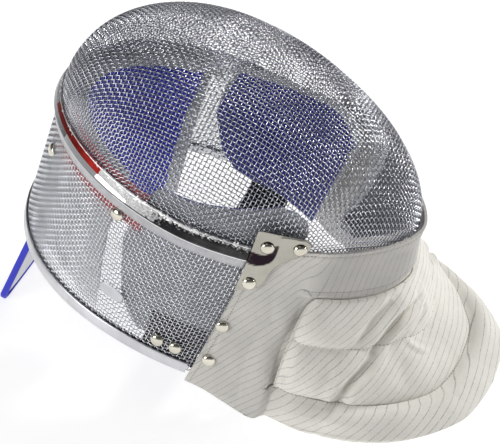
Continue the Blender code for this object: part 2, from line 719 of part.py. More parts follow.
def build_badge(finish, parent):
    """Bare oval plate on the right-hand side mesh."""
    faces = []
    for offset in (GAP, GAP + BADGE["thickness"]):
        ring = []
        for index in range(16):
            angle = math.tau * index / 16
            y = BADGE["y"] + BADGE["length"] / 2 * signed_power(math.cos(angle), 0.6)
            z = BADGE["z"] - BADGE["height"] / 2 * signed_power(math.sin(angle), 0.6)
            ring.append(side_offset(y, z, offset))
        faces.append(ring)
    loft("side_badge", [mirrored(ring) for ring in faces], finish, parent)


def rest_on_floor(parent):
    """Pitch the mask and bring the middle of its lowest face to the origin."""
    parent.matrix_world = Matrix.Rotation(PITCH, 4, "X")
    bpy.context.view_layer.update()
    corners = [item.matrix_world @ vertex.co for item in parent.children for vertex in item.data.vertices]
    low_y, high_y = min(c.y for c in corners), max(c.y for c in corners)
    lowest = min(c.z for c in corners)
    parent.matrix_world = Matrix.Translation((0, -(low_y + high_y) / 2, -lowest)) @ Matrix.Rotation(PITCH, 4, "X")
    bpy.context.view_layer.update()


def main():
    clear_scene()
    finishes = {
        "mesh": material("woven_steel", (0.62, 0.63, 0.65), 0.3, 1.0),
        "chrome": material("chrome", (0.8, 0.8, 0.82), 0.08, 1.0),
        "rim": material("aluminium", (0.72, 0.73, 0.75), 0.35, 1.0),
        "nickel": material("nickel", (0.78, 0.74, 0.66), 0.15, 1.0),
        "fabric": material("striped_fabric", (0.72, 0.70, 0.67), 0.75),
        "blue": material("blue_fabric", (0.03, 0.04, 0.40), 0.7),
        "lining": material("grey_lining", (0.55, 0.55, 0.58), 0.8),
        "black": material("black_webbing", (0.02, 0.02, 0.022), 0.8),
        "badge": material("badge_plastic", (0.62, 0.63, 0.65), 0.4),
    }
    mask = bpy.data.objects.new("mask_frame", None)
    bpy.context.scene.collection.objects.link(mask)
    build_front_mesh(finishes["mesh"], mask)
    build_side_mesh(finishes["mesh"], mask)
    build_trims(finishes, mask)
    build_bib(finishes, mask)
    build_plates(finishes["nickel"], mask)
    build_crown_pad(finishes["blue"], mask)
    build_cheek_pads(finishes["blue"], mask)
    build_chin_pad(finishes["lining"], mask)
    build_strap(finishes["black"], mask)
    build_tongue(finishes, mask)
    build_rivets(finishes["nickel"], mask)
    build_badge(finishes["badge"], mask)
    rest_on_floor(mask)


main()
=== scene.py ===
import math

import bmesh
import bpy
import numpy as np
from mathutils import Matrix, Vector, noise


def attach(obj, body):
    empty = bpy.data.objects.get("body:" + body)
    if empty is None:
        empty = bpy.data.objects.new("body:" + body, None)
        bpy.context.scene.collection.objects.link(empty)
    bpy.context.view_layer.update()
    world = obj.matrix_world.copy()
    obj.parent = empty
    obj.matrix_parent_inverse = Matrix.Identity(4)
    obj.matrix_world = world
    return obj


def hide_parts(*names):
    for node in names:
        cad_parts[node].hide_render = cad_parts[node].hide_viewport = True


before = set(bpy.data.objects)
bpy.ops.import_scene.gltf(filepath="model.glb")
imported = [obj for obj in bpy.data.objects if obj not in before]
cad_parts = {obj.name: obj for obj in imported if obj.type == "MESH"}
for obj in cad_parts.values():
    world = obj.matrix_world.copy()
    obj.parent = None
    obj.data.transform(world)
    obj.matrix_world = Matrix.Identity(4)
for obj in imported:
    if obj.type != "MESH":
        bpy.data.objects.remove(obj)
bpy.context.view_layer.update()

MM = 0.001

# The mask lies in its own frame: X to the wearer's left, Y to the crown, Z out of the face.
PITCH = math.radians(21.0)
MASK_ORIGIN = np.array([0.0, -0.00484, 0.170])
REST_HEIGHT = 170 * MM

# Sizes shared with the solids: half width, centre, reach up, reach down and power of each outline.
BAND_OUTLINE = np.array([86.0 * MM, 0.0, 130.0 * MM, 144.9 * MM, 1.65])
RIM_OUTLINE = np.array([107.8 * MM, -5.0 * MM, 140.7 * MM, 162.5 * MM, 2.0])
RIM_DEPTH = 132 * MM
SIDE_TOP, RIM_EDGE, RIM_DROP, MESH_IN_RIM = -5.6 * MM, -124 * MM, 7 * MM, 1.9 * MM
DOME_HEIGHT, DOME_PEAK_Y, DOME_SKIRT = 86.3 * MM, 23.6 * MM, 0.13
CROWN_POWER, CHIN_POWER, SECTION_POWER = 2.09, 2.2, 2.28
CHIN_LIFT, JAW_Y = 13 * MM, -53 * MM
# The wires run in the middle of the solids' 2 mm wall.
MESH_DEPTH = 1.0 * MM


# ---------------------------------------------------------------- small helpers

def unit(vectors):
    return vectors / np.linalg.norm(vectors, axis=-1, keepdims=True)


def smooth(value):
    value = np.clip(value, 0, 1)
    return value * value * (3 - 2 * value)


def walked(points):
    """Distance from the first point along a line of points."""
    return np.concatenate([[0], np.cumsum(np.linalg.norm(np.diff(points, axis=0), axis=1))])


def grid(rows, columns):
    return np.meshgrid(rows, columns, indexing="ij")


def shell(outer, inner):
    """Rings of a wall, out along its outer surface and back along its inner one."""
    return np.concatenate([outer, inner[:, ::-1]], 1)


def catmull(points, place, pick=None):
    """Smooth curve through points at places measured in points. pick chooses a curve for each place."""
    last = len(points) - 1
    start = np.clip(np.floor(place).astype(int), 0, last - 1)
    share = (place - start)[..., None]

    def at(index):
        index = np.clip(index, 0, last)
        return points[index] if pick is None else points[index, pick]
    before, here, there, after = at(start - 1), at(start), at(start + 1), at(start + 2)
    return 0.5 * (2 * here + (there - before) * share
                  + (2 * before - 5 * here + 4 * there - after) * share ** 2
                  + (3 * here - before - 3 * there + after) * share ** 3)


def curve(points, count):
    """Smooth curve through points, at a count of places."""
    return catmull(points, np.linspace(0, len(points) - 1, count))


# ---------------------------------------------------------------- shapes of the mask body

def egg(angle, outline):
    """Point of an egg outline. Angle 0 is the crown and pi the chin."""
    half, centre, up, down, power = np.moveaxis(outline, -1, 0)
    side, along = np.sin(angle), np.cos(angle)
    chin = along < 0
    bend = np.where(chin, 2 / power, 1.0)
    x = half * np.sign(side) * np.abs(side) ** bend
    return x, centre + np.where(chin, -down, up) * np.abs(along) ** bend


def egg_width(y, outline):
    half, centre, up, down, power = np.moveaxis(outline, -1, 0)
    offset = y - centre
    reach, bend = np.where(offset > 0, up, down), np.where(offset > 0, 2.0, power)
    return half * np.maximum(0, 1 - np.abs(offset / reach) ** bend) ** (1 / bend)


def egg_angle(y, outline):
    _, centre, up, down, power = np.moveaxis(outline, -1, 0)
    offset = y - centre
    crown = np.arccos(np.clip(offset / up, -1, 1))
    chin = np.pi - np.arccos(np.clip(np.abs(offset / down) ** (power / 2), 0, 1))
    return np.where(offset > 0, crown, chin)


def outline_at(depth):
    return BAND_OUTLINE + np.asarray(depth, float)[..., None] / RIM_DEPTH * (RIM_OUTLINE - BAND_OUTLINE)


def inset_band(inset):
    return BAND_OUTLINE - np.array([1, 0, 1, 1, 0]) * inset


def edge_height(y):
    return CHIN_LIFT * np.maximum(0, (JAW_Y - y) / (JAW_Y + BAND_OUTLINE[3]))


def dome_profile(y, inset=0.0):
    crown = y > DOME_PEAK_Y
    length = np.where(crown, BAND_OUTLINE[2] - inset - DOME_PEAK_Y, BAND_OUTLINE[3] - inset + DOME_PEAK_Y)
    power = np.where(crown, CROWN_POWER, CHIN_POWER)
    share = np.minimum(1, np.abs(y - DOME_PEAK_Y) / length)
    return (DOME_HEIGHT - inset) * (1 - share ** power) ** (1 / power)


def dome(u, v, inset=MESH_DEPTH):
    """Front mesh by its distance from the peak: 1 at the edge, and straight down past it."""
    reach = np.hypot(u, v)
    outline = inset_band(inset)
    x, y = egg(np.arctan2(u, v), outline)
    share = np.sin(np.minimum(reach, 1) * np.pi / 2)
    x, y = x * share, DOME_PEAK_Y + (y - DOME_PEAK_Y) * share
    edge = edge_height(y)
    width = np.maximum(egg_width(y, outline), 1e-6)
    section = np.maximum(0, 1 - np.minimum(1, np.abs(x) / width) ** SECTION_POWER) ** (1 / SECTION_POWER)
    z = edge + (dome_profile(y, inset) - edge) * section - np.maximum(0, reach - 1) * DOME_SKIRT
    return np.stack([x, y, z], -1)


def rise_share(y, z, inset=0.0):
    """Share of the way up from the dome's edge to its top, at y and z."""
    edge = edge_height(y)
    return np.clip((z - edge) / np.maximum(dome_profile(y, inset) - edge, 1e-6), 0, 1)


def side_surface(y, z):
    """Point on the left-hand side of the mesh body (x > 0) at y and z."""
    y, z = np.broadcast_arrays(np.asarray(y, float), np.asarray(z, float))
    wall = egg_width(y, outline_at(np.maximum(0, -z)))
    narrowed = (1 - rise_share(y, z) ** SECTION_POWER) ** (1 / SECTION_POWER)
    return np.stack([wall * np.where(z > 0, narrowed, 1), y, z], -1)


def side_normal(y, z, step=0.5 * MM):
    normal = unit(np.cross(side_surface(y + step, z) - side_surface(y - step, z),
                           side_surface(y, z + step) - side_surface(y, z - step)))
    return normal * np.sign(normal[..., :1])


def side_offset(y, z, offset):
    return side_surface(y, z) + side_normal(y, z) * np.asarray(offset)[..., None]


def wall_at(angle, z):
    """Points of the side wall, and its outward directions."""
    outline, step = outline_at(np.maximum(0, -z)), 1e-3
    x, y = egg(angle, outline)
    ahead, behind = egg(angle + step, outline), egg(angle - step, outline)
    out = np.stack([-(ahead[1] - behind[1]), ahead[0] - behind[0], 0 * x], -1)
    return np.stack([x, y, z + 0 * x], -1), unit(out)


def arch(height, ends, count):
    """Points and outward directions of the wall, evenly spaced from jaw to jaw. height gives z from y."""
    depth = max(0.0, -float(height(np.zeros(1))[0]))
    outline = outline_at(depth)
    reach = egg_angle(np.array(ends[0] + (ends[1] - ends[0]) * depth / RIM_DEPTH), outline)
    angles = np.linspace(-reach, reach, 1201)
    length = walked(np.stack(egg(angles, outline), -1))
    even = np.interp(np.linspace(0, length[-1], count), length, angles)
    return wall_at(even, height(egg(even, outline)[1]))


def level_at(z):
    return lambda y: z + 0 * y


def rim_edge(y):
    """Height of the rear rim's edge: it drops towards the crown."""
    return RIM_EDGE - RIM_DROP * smooth(y / RIM_OUTLINE[2])


def over_rim(height):
    return lambda y: rim_edge(y) + height


def side_height(share):
    return lambda y: SIDE_TOP + share * (rim_edge(y) + MESH_IN_RIM - SIDE_TOP)


def floor_z(y):
    """z of the floor in the mask's frame."""
    return (-REST_HEIGHT - y * math.sin(PITCH)) / math.cos(PITCH)


def above_floor(points, clearance=0.0):
    low = floor_z(points[..., 1]) + clearance / math.cos(PITCH)
    return np.concatenate([points[..., :2], np.maximum(points[..., 2], low)[..., None]], -1)


# ---------------------------------------------------------------- making pieces

def to_world(points):
    x, y, z = np.moveaxis(np.asarray(points, float), -1, 0)
    c, s = math.cos(PITCH), math.sin(PITCH)
    return np.stack([x, y * c - z * s, y * s + z * c], -1) + MASK_ORIGIN


def both_sides(rings):
    """The rings for the left-hand side, and mirrored for the right-hand side."""
    rings = np.asarray(rings)
    return ("left", rings), ("right", rings * np.array([-1, 1, 1]))


def piece(name, points, faces, materials, slot, stands_for=(), sharp=None, picks=None, fields=None,
          clean=True):
    """An object of the mask from points in the mask's frame, riding on the one body."""
    mesh = bpy.data.meshes.new(name)
    mesh.from_pydata(to_world(np.reshape(points, (-1, 3))).tolist(), [], [list(face) for face in faces])
    for finish in materials.split():
        mesh.materials.append(FINISH[finish])
    if picks is not None:
        mesh.polygons.foreach_set("material_index", np.asarray(picks, np.int32))
    for key, values in (fields or {}).items():
        values = np.ravel(values).astype(np.float32)
        mesh.attributes.new(key, "FLOAT", "POINT").data.foreach_set("value", values)
    if clean:
        bm = bmesh.new()
        bm.from_mesh(mesh)
        bmesh.ops.remove_doubles(bm, verts=bm.verts, dist=1e-7)
        bmesh.ops.recalc_face_normals(bm, faces=bm.faces)
        bm.to_mesh(mesh)
        bm.free()
    mesh.shade_smooth()
    if sharp:
        mesh.set_sharp_from_angle(angle=math.radians(sharp))
    made = bpy.data.objects.new(name, mesh)
    bpy.context.scene.collection.objects.link(made)
    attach(made, "root")
    if stands_for:
        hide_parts(stands_for)
    return made


def ring_faces(count, size, caps=True):
    """Faces of a skin over rings, and the ring step and place of each."""
    places = [(row, k) for row in range(count - 1) for k in range(size)]
    faces = []
    for row, k in places:
        low, high, after = row * size, (row + 1) * size, (k + 1) % size
        faces.append((low + k, low + after, high + after, high + k))
    if caps:
        faces += [tuple(range(size)), tuple(range((count - 1) * size, count * size))]
        places += [(-1, -1), (-1, -1)]
    return faces, places


def skin(name, rings, materials, slot, stands_for=(), pick=None, sharp=None, fields=None):
    """A piece over rings, closed at both ends. pick gives a face's material by its ring step and place."""
    rings = np.asarray(rings)
    faces, places = ring_faces(*rings.shape[:2])
    picks = [pick(row, k) if row >= 0 else 0 for row, k in places] if pick else None
    return piece(name, rings, faces, materials, slot, stands_for, sharp, picks, fields)


def sweep(profile, end_y, count=261):
    """Rings of a profile along the wall from jaw to jaw: offsets in mm, and z as functions of y."""
    arches = [(offset, arch(height, (end_y, end_y), count)) for offset, height in profile]
    return np.stack([points + out * offset * MM for offset, (points, out) in arches], 1)


# ---------------------------------------------------------------- materials

class Shader:
    """Short names for the nodes that the materials here use."""

    def __init__(self, tree):
        self.tree, self.main = tree, tree.nodes["Principled BSDF"]
        self.place = None

    def node(self, kind, **inputs):
        made = self.tree.nodes.new(kind)
        for key, value in inputs.items():
            socket = key.replace("_", " ")
            if socket in made.inputs:
                self.feed(made.inputs[socket], value)
            else:
                setattr(made, key, value)
        return made

    def feed(self, socket, value):
        if isinstance(value, bpy.types.NodeSocket):
            self.tree.links.new(value, socket)
        elif isinstance(value, tuple) and len(value) == 3 and len(socket.default_value) == 4:
            socket.default_value = (*value, 1.0)
        else:
            socket.default_value = value

    def set(self, **inputs):
        for key, value in inputs.items():
            self.feed(self.main.inputs[key.replace("_", " ")], value)

    def coords(self):
        if self.place is None:
            self.place = self.node("ShaderNodeTexCoord").outputs["Object"]
        return self.place

    def noise(self, scale, detail=3.0, rough=0.5, stretch=None):
        where = self.coords()
        if stretch:
            where = self.node("ShaderNodeMapping", Vector=where, Scale=stretch).outputs[0]
        return self.node("ShaderNodeTexNoise", Vector=where, Scale=scale, Detail=detail,
                         Roughness=rough).outputs["Fac"]

    def field(self, name):
        return self.node("ShaderNodeAttribute", attribute_name=name).outputs["Fac"]

    def spread(self, value, low, high, to_low=0.0, to_high=1.0, **more):
        """Map a range of values to another one."""
        return self.node("ShaderNodeMapRange", Value=value, From_Min=low, From_Max=high, To_Min=to_low,
                         To_Max=to_high, **more).outputs[0]

    def ramp(self, value, *stops):
        made = self.node("ShaderNodeValToRGB", Fac=value)
        for stop, (place, colour) in zip(made.color_ramp.elements, stops):
            stop.position = place
            stop.color = (*colour, 1.0) if isinstance(colour, tuple) else (colour, colour, colour, 1.0)
        return made.outputs["Color"]

    def math(self, way, a, b=0.0):
        made = self.tree.nodes.new("ShaderNodeMath")
        made.operation = way
        self.feed(made.inputs[0], a)
        self.feed(made.inputs[1], b)
        return made.outputs[0]

    def mix(self, share, a, b):
        made = self.tree.nodes.new("ShaderNodeMix")
        made.data_type = "RGBA"
        for socket, value in ((0, share), (6, a), (7, b)):
            self.feed(made.inputs[socket], value)
        return made.outputs[2]

    def bump(self, height, strength, distance):
        bumps = self.node("ShaderNodeBump", Strength=strength, Distance=distance, Height=height)
        self.set(Normal=bumps.outputs[0])


def shade(name, build):
    made = bpy.data.materials.new(name)
    made.use_nodes = True
    build(Shader(made.node_tree))
    return made


def metal(name, dark, light, rough_low, rough_high, scale=60.0, bump=0.0, stretch=None):
    def build(s):
        spots, smears = s.noise(scale, 4, 0.6, stretch), s.noise(scale * 2.3, 3, 0.6, stretch)
        s.set(Metallic=1.0, Base_Color=s.ramp(spots, (0.3, dark), (0.7, light)),
              Roughness=s.spread(smears, 0.3, 0.7, rough_low, rough_high))
        if bump:
            s.bump(s.noise(scale * 6, 2), bump, 0.2 * MM)
    return shade(name, build)


# A wave texture's scale, times the metres between its waves.
WAVE_SCALE = 0.314


def cloth(name, dark, light, weave=0.7 * MM, rough=0.85, sheen=0.3, bump=0.35):
    """Woven cloth: crossed waves of thread, with uneven dye."""
    def build(s):
        patch = s.noise(38, 4, 0.55)
        where = s.node("ShaderNodeMapping", Vector=s.coords(), Rotation=(0.4, 0.3, 0.6)).outputs[0]
        waves = [s.node("ShaderNodeTexWave", Vector=where, bands_direction=way, Scale=WAVE_SCALE / weave,
                        Distortion=1.5, Detail=1.0).outputs["Fac"] for way in "XYZ"]
        threads = s.math("MULTIPLY", s.math("ADD", s.math("ADD", *waves[:2]), waves[2]), 0.333)
        tone = s.math("ADD", s.math("MULTIPLY", patch, 0.6), s.math("MULTIPLY", threads, 0.4))
        s.set(Base_Color=s.ramp(tone, (0.25, dark), (0.75, light)), Roughness=rough, Sheen_Weight=sheen,
              Sheen_Roughness=0.5)
        s.bump(threads, bump, 0.15 * MM)
    return shade(name, build)


RIB_SPACING = 4.8 * MM


def striped_cloth(name):
    """Cream cloth, greyed by painted shade where its shade field is near 1, with grey ribs along 'stripe', in
    metres.
    """
    def build(s):
        place = s.math("FRACT", s.math("DIVIDE", s.field("stripe"), RIB_SPACING))
        rib = s.math("ABSOLUTE", s.math("SUBTRACT", place, 0.5))
        line = s.spread(rib, 0.0, 0.09, 1.0, 0.0, interpolation_type="SMOOTHSTEP")
        worn = s.math("MULTIPLY", line, s.spread(s.noise(45, 3, 0.6), 0.3, 0.65, 0.55, 1.0))
        patch, weave = s.noise(26, 4, 0.6), s.noise(1500, 2, 0.5)
        cream = s.ramp(patch, (0.3, (0.75, 0.725, 0.665)), (0.7, (0.87, 0.845, 0.775)))
        # Grey of the painted shade on the flaps and the collar.
        painted_shade = s.ramp(patch, (0.3, (0.43, 0.415, 0.395)), (0.7, (0.53, 0.51, 0.48)))
        ground = s.mix(s.field("painted_shade"), cream, painted_shade)
        ground = s.mix(s.spread(weave, 0.35, 0.65, 0.0, 0.16), ground, (0.24, 0.235, 0.23))
        dashes = s.spread(s.noise(650, 2, 0.5), 0.38, 0.56, 0.35, 0.85)
        s.set(Base_Color=s.mix(s.math("MULTIPLY", worn, dashes), ground, (0.20, 0.20, 0.215)), Roughness=0.82,
              Sheen_Weight=0.25, Sheen_Roughness=0.45)
        s.bump(s.math("ADD", s.math("MULTIPLY", weave, 0.5), s.math("MULTIPLY", line, -0.6)), 0.35, 0.25 * MM)
    return shade(name, build)


def soldered_bevel(name):
    """Chrome darkened to near black, a painted dark reflection, with ragged silver solder over it, thick
    where the field 'solder' is near 1.
    """
    def build(s):
        lumps = s.math("ADD", s.noise(520, 4, 0.62), s.math("MULTIPLY", s.field("solder"), 0.42))
        cover = s.spread(lumps, 0.66, 0.73)
        # Painted dark reflection: the chrome under the solder is darkened to near black.
        dark = s.ramp(s.noise(45, 4, 0.6), (0.3, 0.03), (0.7, 0.11))
        silver = s.ramp(s.noise(900, 2, 0.6), (0.3, 0.22), (0.7, 0.52))
        rough = s.spread(cover, 0.0, 1.0, 0.12, 0.5)
        s.set(Metallic=1.0, Base_Color=s.mix(cover, dark, silver), Roughness=rough)
        s.bump(cover, 0.5, 0.3 * MM)
    return shade(name, build)


def reflecting_plate(name):
    """Nickel plate with the dark room reflected where the field 'hook' is 1."""
    def build(s):
        dark = s.math("MULTIPLY", s.field("hook"), s.spread(s.noise(160, 2, 0.5), 0.25, 0.45, 0.86, 1.0))
        nickel = s.ramp(s.noise(30, 4, 0.6), (0.3, (0.33, 0.317, 0.277)), (0.7, (0.46, 0.445, 0.395)))
        s.set(Metallic=1.0, Roughness=0.14, Base_Color=s.mix(dark, nickel, (0.02, 0.012, 0.018)))
        s.bump(s.noise(90, 2), 0.05, 0.2 * MM)
    return shade(name, build)


# Metals: name, dark and light colour, low and high roughness, then scale of the spots, bump and stretch.
# Cloths: name, dark and light colour, then metres between threads, roughness, sheen and bump.
FINISH = {
    "wire": metal("woven_steel_wire", (0.40, 0.41, 0.44), (0.60, 0.61, 0.64), 0.12, 0.2, 90),
    # A lighter copy of the front mesh's steel: painted light on the side mesh.
    "side_wire": metal("side_steel_wire_painted_lighter", (0.62, 0.63, 0.66), (0.84, 0.85, 0.88), 0.12, 0.2, 90),
    "chrome": metal("chrome_crest", (0.90, 0.90, 0.91), (0.97, 0.97, 0.98), 0.05, 0.12, 35, 0.05),
    "shadowed": metal("dark_bevel", (0.035, 0.036, 0.04), (0.13, 0.13, 0.14), 0.08, 0.2, 45, 0.05),
    "satin": metal("satin_flank", (0.42, 0.42, 0.435), (0.53, 0.53, 0.545), 0.30, 0.45, 160, 0.05),
    # A painted highlight: near-white metal for the streak on the band's lower bevel.
    "streak": metal("painted_highlight_bevel", (0.97, 0.97, 0.98), (1.0, 1.0, 1.0), 0.04, 0.08, 60),
    "dull": metal("grey_bevel", (0.26, 0.26, 0.27), (0.38, 0.38, 0.39), 0.15, 0.3, 60),
    "soldered": soldered_bevel("soldered_bevel"),
    # A painted red reflection, on the near stretch of the band's upper bevel.
    "red": metal("painted_red_reflection", (0.13, 0.007, 0.006), (0.27, 0.02, 0.015), 0.3, 0.5, 160),
    "rim": metal("aluminium_trim", (0.54, 0.54, 0.56), (0.68, 0.68, 0.70), 0.28, 0.42, 50, 0.05, (1, 1, 0.2)),
    "nickel": metal("nickel_rivet", (0.56, 0.53, 0.45), (0.74, 0.71, 0.62), 0.06, 0.14, 30, 0.04),
    "plate": reflecting_plate("nickel_plate"),
    "badge": metal("bare_badge", (0.50, 0.51, 0.53), (0.62, 0.63, 0.65), 0.3, 0.45, 80),
    "solder": metal("solder_silver", (0.74, 0.74, 0.74), (0.94, 0.94, 0.94), 0.25, 0.5, 260, 0.4),
    "bib": striped_cloth("striped_fabric"),
    "blue": cloth("blue_fabric_cover", (0.006, 0.010, 0.36), (0.014, 0.026, 0.68)),
    "navy": cloth("navy_fabric_cover", (0.005, 0.008, 0.19), (0.012, 0.02, 0.40)),
    "grey": cloth("grey_lining_cloth", (0.34, 0.35, 0.385), (0.47, 0.48, 0.515)),
    "pale": cloth("pale_lining_cloth", (0.64, 0.645, 0.665), (0.76, 0.765, 0.785)),
    # Slate: dark outer face of the chin pad, partly its own colour and partly painted shade.
    "slate": cloth("slate_cloth", (0.05, 0.055, 0.075), (0.11, 0.12, 0.15)),
    "piping": cloth("grey_piping", (0.40, 0.41, 0.43), (0.55, 0.56, 0.58), 0.5 * MM),
    "black": cloth("black_webbing_weave", (0.006, 0.006, 0.008), (0.025, 0.025, 0.03), 1.1 * MM, 0.7, 0.15,
                   0.6),
    "thread": cloth("sewing_thread", (0.30, 0.28, 0.25), (0.46, 0.44, 0.40), 0.3 * MM),
    "tape": cloth("red_tape", (0.62, 0.05, 0.06), (0.80, 0.12, 0.12), 0.9 * MM, 0.6, 0.1, 0.3),
}


# ---------------------------------------------------------------- woven wire

WIRE_PITCH, WIRE_RADIUS, CRIMP, BEND_SHARE = 3.0 * MM, 0.42 * MM, 0.5 * MM, 0.22
WIRE_TAIL = 3.5 * MM
WEAVE_START = (0.0, -0.18)
# Steps for slopes on the dome, how far a search there may jump, and how far a crossing may miss its pitch.
SEED_STEP, NET_STEP, SEED_JUMP, NET_JUMP, MISS_LIMIT = 1e-5, 2e-5, 0.01, 0.02, 0.02 * MM
# Places are rounded at every step, so that the weave comes out the same in each run.
DIGITS = 9


def tubes(lines, radius, sides=5):
    """Points and faces of tubes along lines of (points, normals)."""
    turn = np.arange(sides) / sides * math.tau
    points, faces, start = [], [], 0
    for line, normals in lines:
        along = unit(np.gradient(line, axis=0))
        across = unit(np.cross(along, normals))
        up = np.cross(across, along)
        ring = up[:, None] * np.cos(turn)[None, :, None] + across[:, None] * np.sin(turn)[None, :, None]
        points.append((line[:, None] + ring * radius).reshape(-1, 3))
        k, row = np.meshgrid(np.arange(sides), np.arange(len(line) - 1))
        low, after = start + row * sides + k, start + row * sides + (k + 1) % sides
        faces.append(np.stack([low, low + sides, after + sides, after], -1).reshape(-1, 4))
        start += len(line) * sides
    return np.concatenate(points), np.concatenate(faces)


def tube_piece(name, lines, radius, *rest):
    points, faces = tubes(lines, radius)
    return piece(name, points, faces.tolist(), *rest, clean=False)


def crimped(nodes, normals, first):
    """A wire through its crossings, over one and under the next. first is +1 or -1 at the first crossing."""
    lift = normals * (first * (-1.0) ** np.arange(len(nodes)))[:, None] * CRIMP
    ends = np.concatenate([nodes[:1], nodes, nodes[-1:]])
    bends = [nodes + (neighbour - nodes) * BEND_SHARE + lift for neighbour in (ends[:-2], ends[2:])]
    return np.stack(bends, 1).reshape(-1, 3), np.repeat(normals, 2, axis=0)


def geodesic(start, way, count):
    """Crossings a wire pitch apart along one straight seed line of the dome."""
    line, way = [np.array(start, float)], np.array(way, float)
    for _ in range(count):
        here, reach = dome(*line[-1]), 0.02

        def gap(reach):
            return np.linalg.norm(dome(*(line[-1] + way * reach)) - here) - WIRE_PITCH
        for _ in range(30):
            slope = (gap(reach + SEED_STEP) - gap(reach)) / SEED_STEP
            reach -= float(np.clip(gap(reach) / slope if abs(slope) > 1e-9 else 0, -SEED_JUMP, SEED_JUMP))
        line.append(np.round(line[-1] + way * reach, DIGITS))
    line = np.array(line)
    return line[np.hypot(*line.T) < 1.1]


def woven_net(across, along):
    """Places of a woven mesh's crossings between two seed lines, each a pitch from its two neighbours."""
    n, m = len(across), len(along)
    place, spot = np.full((n, m, 2), np.nan), np.full((n, m, 3), np.nan)
    place[:, 0], place[0, :] = across, along
    spot[:, 0], spot[0, :] = dome(*across.T), dome(*along.T)
    for diagonal in range(2, n + m - 1):
        i = np.arange(max(1, diagonal - m + 1), min(n - 1, diagonal - 1) + 1)
        j = diagonal - i
        kept = np.isfinite(place[i - 1, j] + place[i, j - 1] + place[i - 1, j - 1]).all(1)
        i, j = i[kept], j[kept]
        if not len(i):
            continue
        here = place[i - 1, j] + place[i, j - 1] - place[i - 1, j - 1]
        neighbours = spot[i - 1, j], spot[i, j - 1]
        for _ in range(14):
            now = dome(*here.T)
            slopes = [(dome(*(here + NET_STEP * way).T) - now) / NET_STEP for way in np.eye(2)]
            miss_one, miss_two = (((now - one) ** 2).sum(1) - WIRE_PITCH ** 2 for one in neighbours)
            (a, b), (c, d) = ([2 * ((now - one) * slope).sum(1) for slope in slopes] for one in neighbours)
            size = a * d - b * c
            size = np.where(np.abs(size) < 1e-14, 1e-14, size)[:, None]
            step = np.stack([miss_two * b - miss_one * d, miss_one * c - miss_two * a], -1) / size
            length = np.linalg.norm(step, axis=1, keepdims=True)
            here = np.round(here + step * np.minimum(1, NET_JUMP / np.maximum(length, 1e-12)), DIGITS)
        now = dome(*here.T)
        miss = sum(np.abs(np.linalg.norm(now - one, axis=1) - WIRE_PITCH) for one in neighbours)
        good = (miss < MISS_LIMIT) & (np.hypot(*here.T) < 1.12)
        good &= np.linalg.norm(here - place[i - 1, j - 1], axis=1) > 1e-3
        place[i[good], j[good]], spot[i[good], j[good]] = here[good], now[good]
    return place


def dome_normals(place, step=1e-4):
    u, v = place[..., 0], place[..., 1]
    return unit(np.cross(dome(u + step, v) - dome(u - step, v), dome(u, v + step) - dome(u, v - step)))


def trimmed(nodes, normals):
    """Cut a wire's ends a tail under the front mesh's edge. Also gives how many nodes its start has lost."""
    low = edge_height(nodes[:, 1]) - WIRE_TAIL
    inside = np.flatnonzero(nodes[:, 2] > low)
    if len(inside) < 2:
        return None
    first, last = inside[0], inside[-1]
    for end, inner in ((first - 1, first), (last + 1, last)):
        if 0 <= end < len(nodes):
            fall = nodes[inner, 2] - nodes[end, 2]
            share = (nodes[inner, 2] - low[end]) / fall if fall > 1e-9 else 1.0
            nodes[end] = nodes[inner] + (nodes[end] - nodes[inner]) * min(1.0, max(0.05, share))
    first, last = max(0, first - 1), min(len(nodes) - 1, last + 1)
    return first, nodes[first:last + 1], normals[first:last + 1]


def build_front_mesh():
    across = geodesic(WEAVE_START, (1, 0), 60)
    up, down = (woven_net(across, geodesic(WEAVE_START, (0, way), 80)) for way in (1, -1))
    half = np.concatenate([down[:, :0:-1], up], axis=1)
    place = np.concatenate([half[:0:-1] * np.array([-1, 1]), half])
    for name, way, rows, node in (("front_mesh_warp", -1, place, "front_mesh"),
                                  ("front_mesh_weft", 1, place.transpose(1, 0, 2), ())):
        lines = []
        for index, row in enumerate(rows):
            kept = np.flatnonzero(np.isfinite(row[:, 0]))
            if len(kept) < 3 or kept[-1] - kept[0] >= len(kept):
                continue
            cut = trimmed(dome(*row[kept].T), dome_normals(row[kept]))
            if cut:
                skipped, nodes, normals = cut
                lines.append(crimped(nodes, normals, way * (-1) ** (index + kept[0] + skipped)))
        tube_piece(name, lines, WIRE_RADIUS, "wire", "woven_steel", node)


def build_side_mesh(rows=42, columns=171):
    ends = (-64 * MM, -52 * MM)
    levels = [arch(side_height(share), ends, columns) for share in np.linspace(0, 1, rows)]
    nodes = np.stack([points - out * MESH_DEPTH for points, out in levels])
    normals = np.stack([out for _, out in levels])
    around = [crimped(nodes[r], normals[r], 1 if r % 2 else -1) for r in range(rows)]
    upright = [crimped(nodes[:, c], normals[:, c], -1 if c % 2 else 1) for c in range(columns)]
    for name, lines, node in (("side_mesh_warp", upright, "side_mesh"), ("side_mesh_weft", around, ())):
        tube_piece(name, lines, WIRE_RADIUS, "side_wire", "woven_steel", node)


# ---------------------------------------------------------------- metal trims

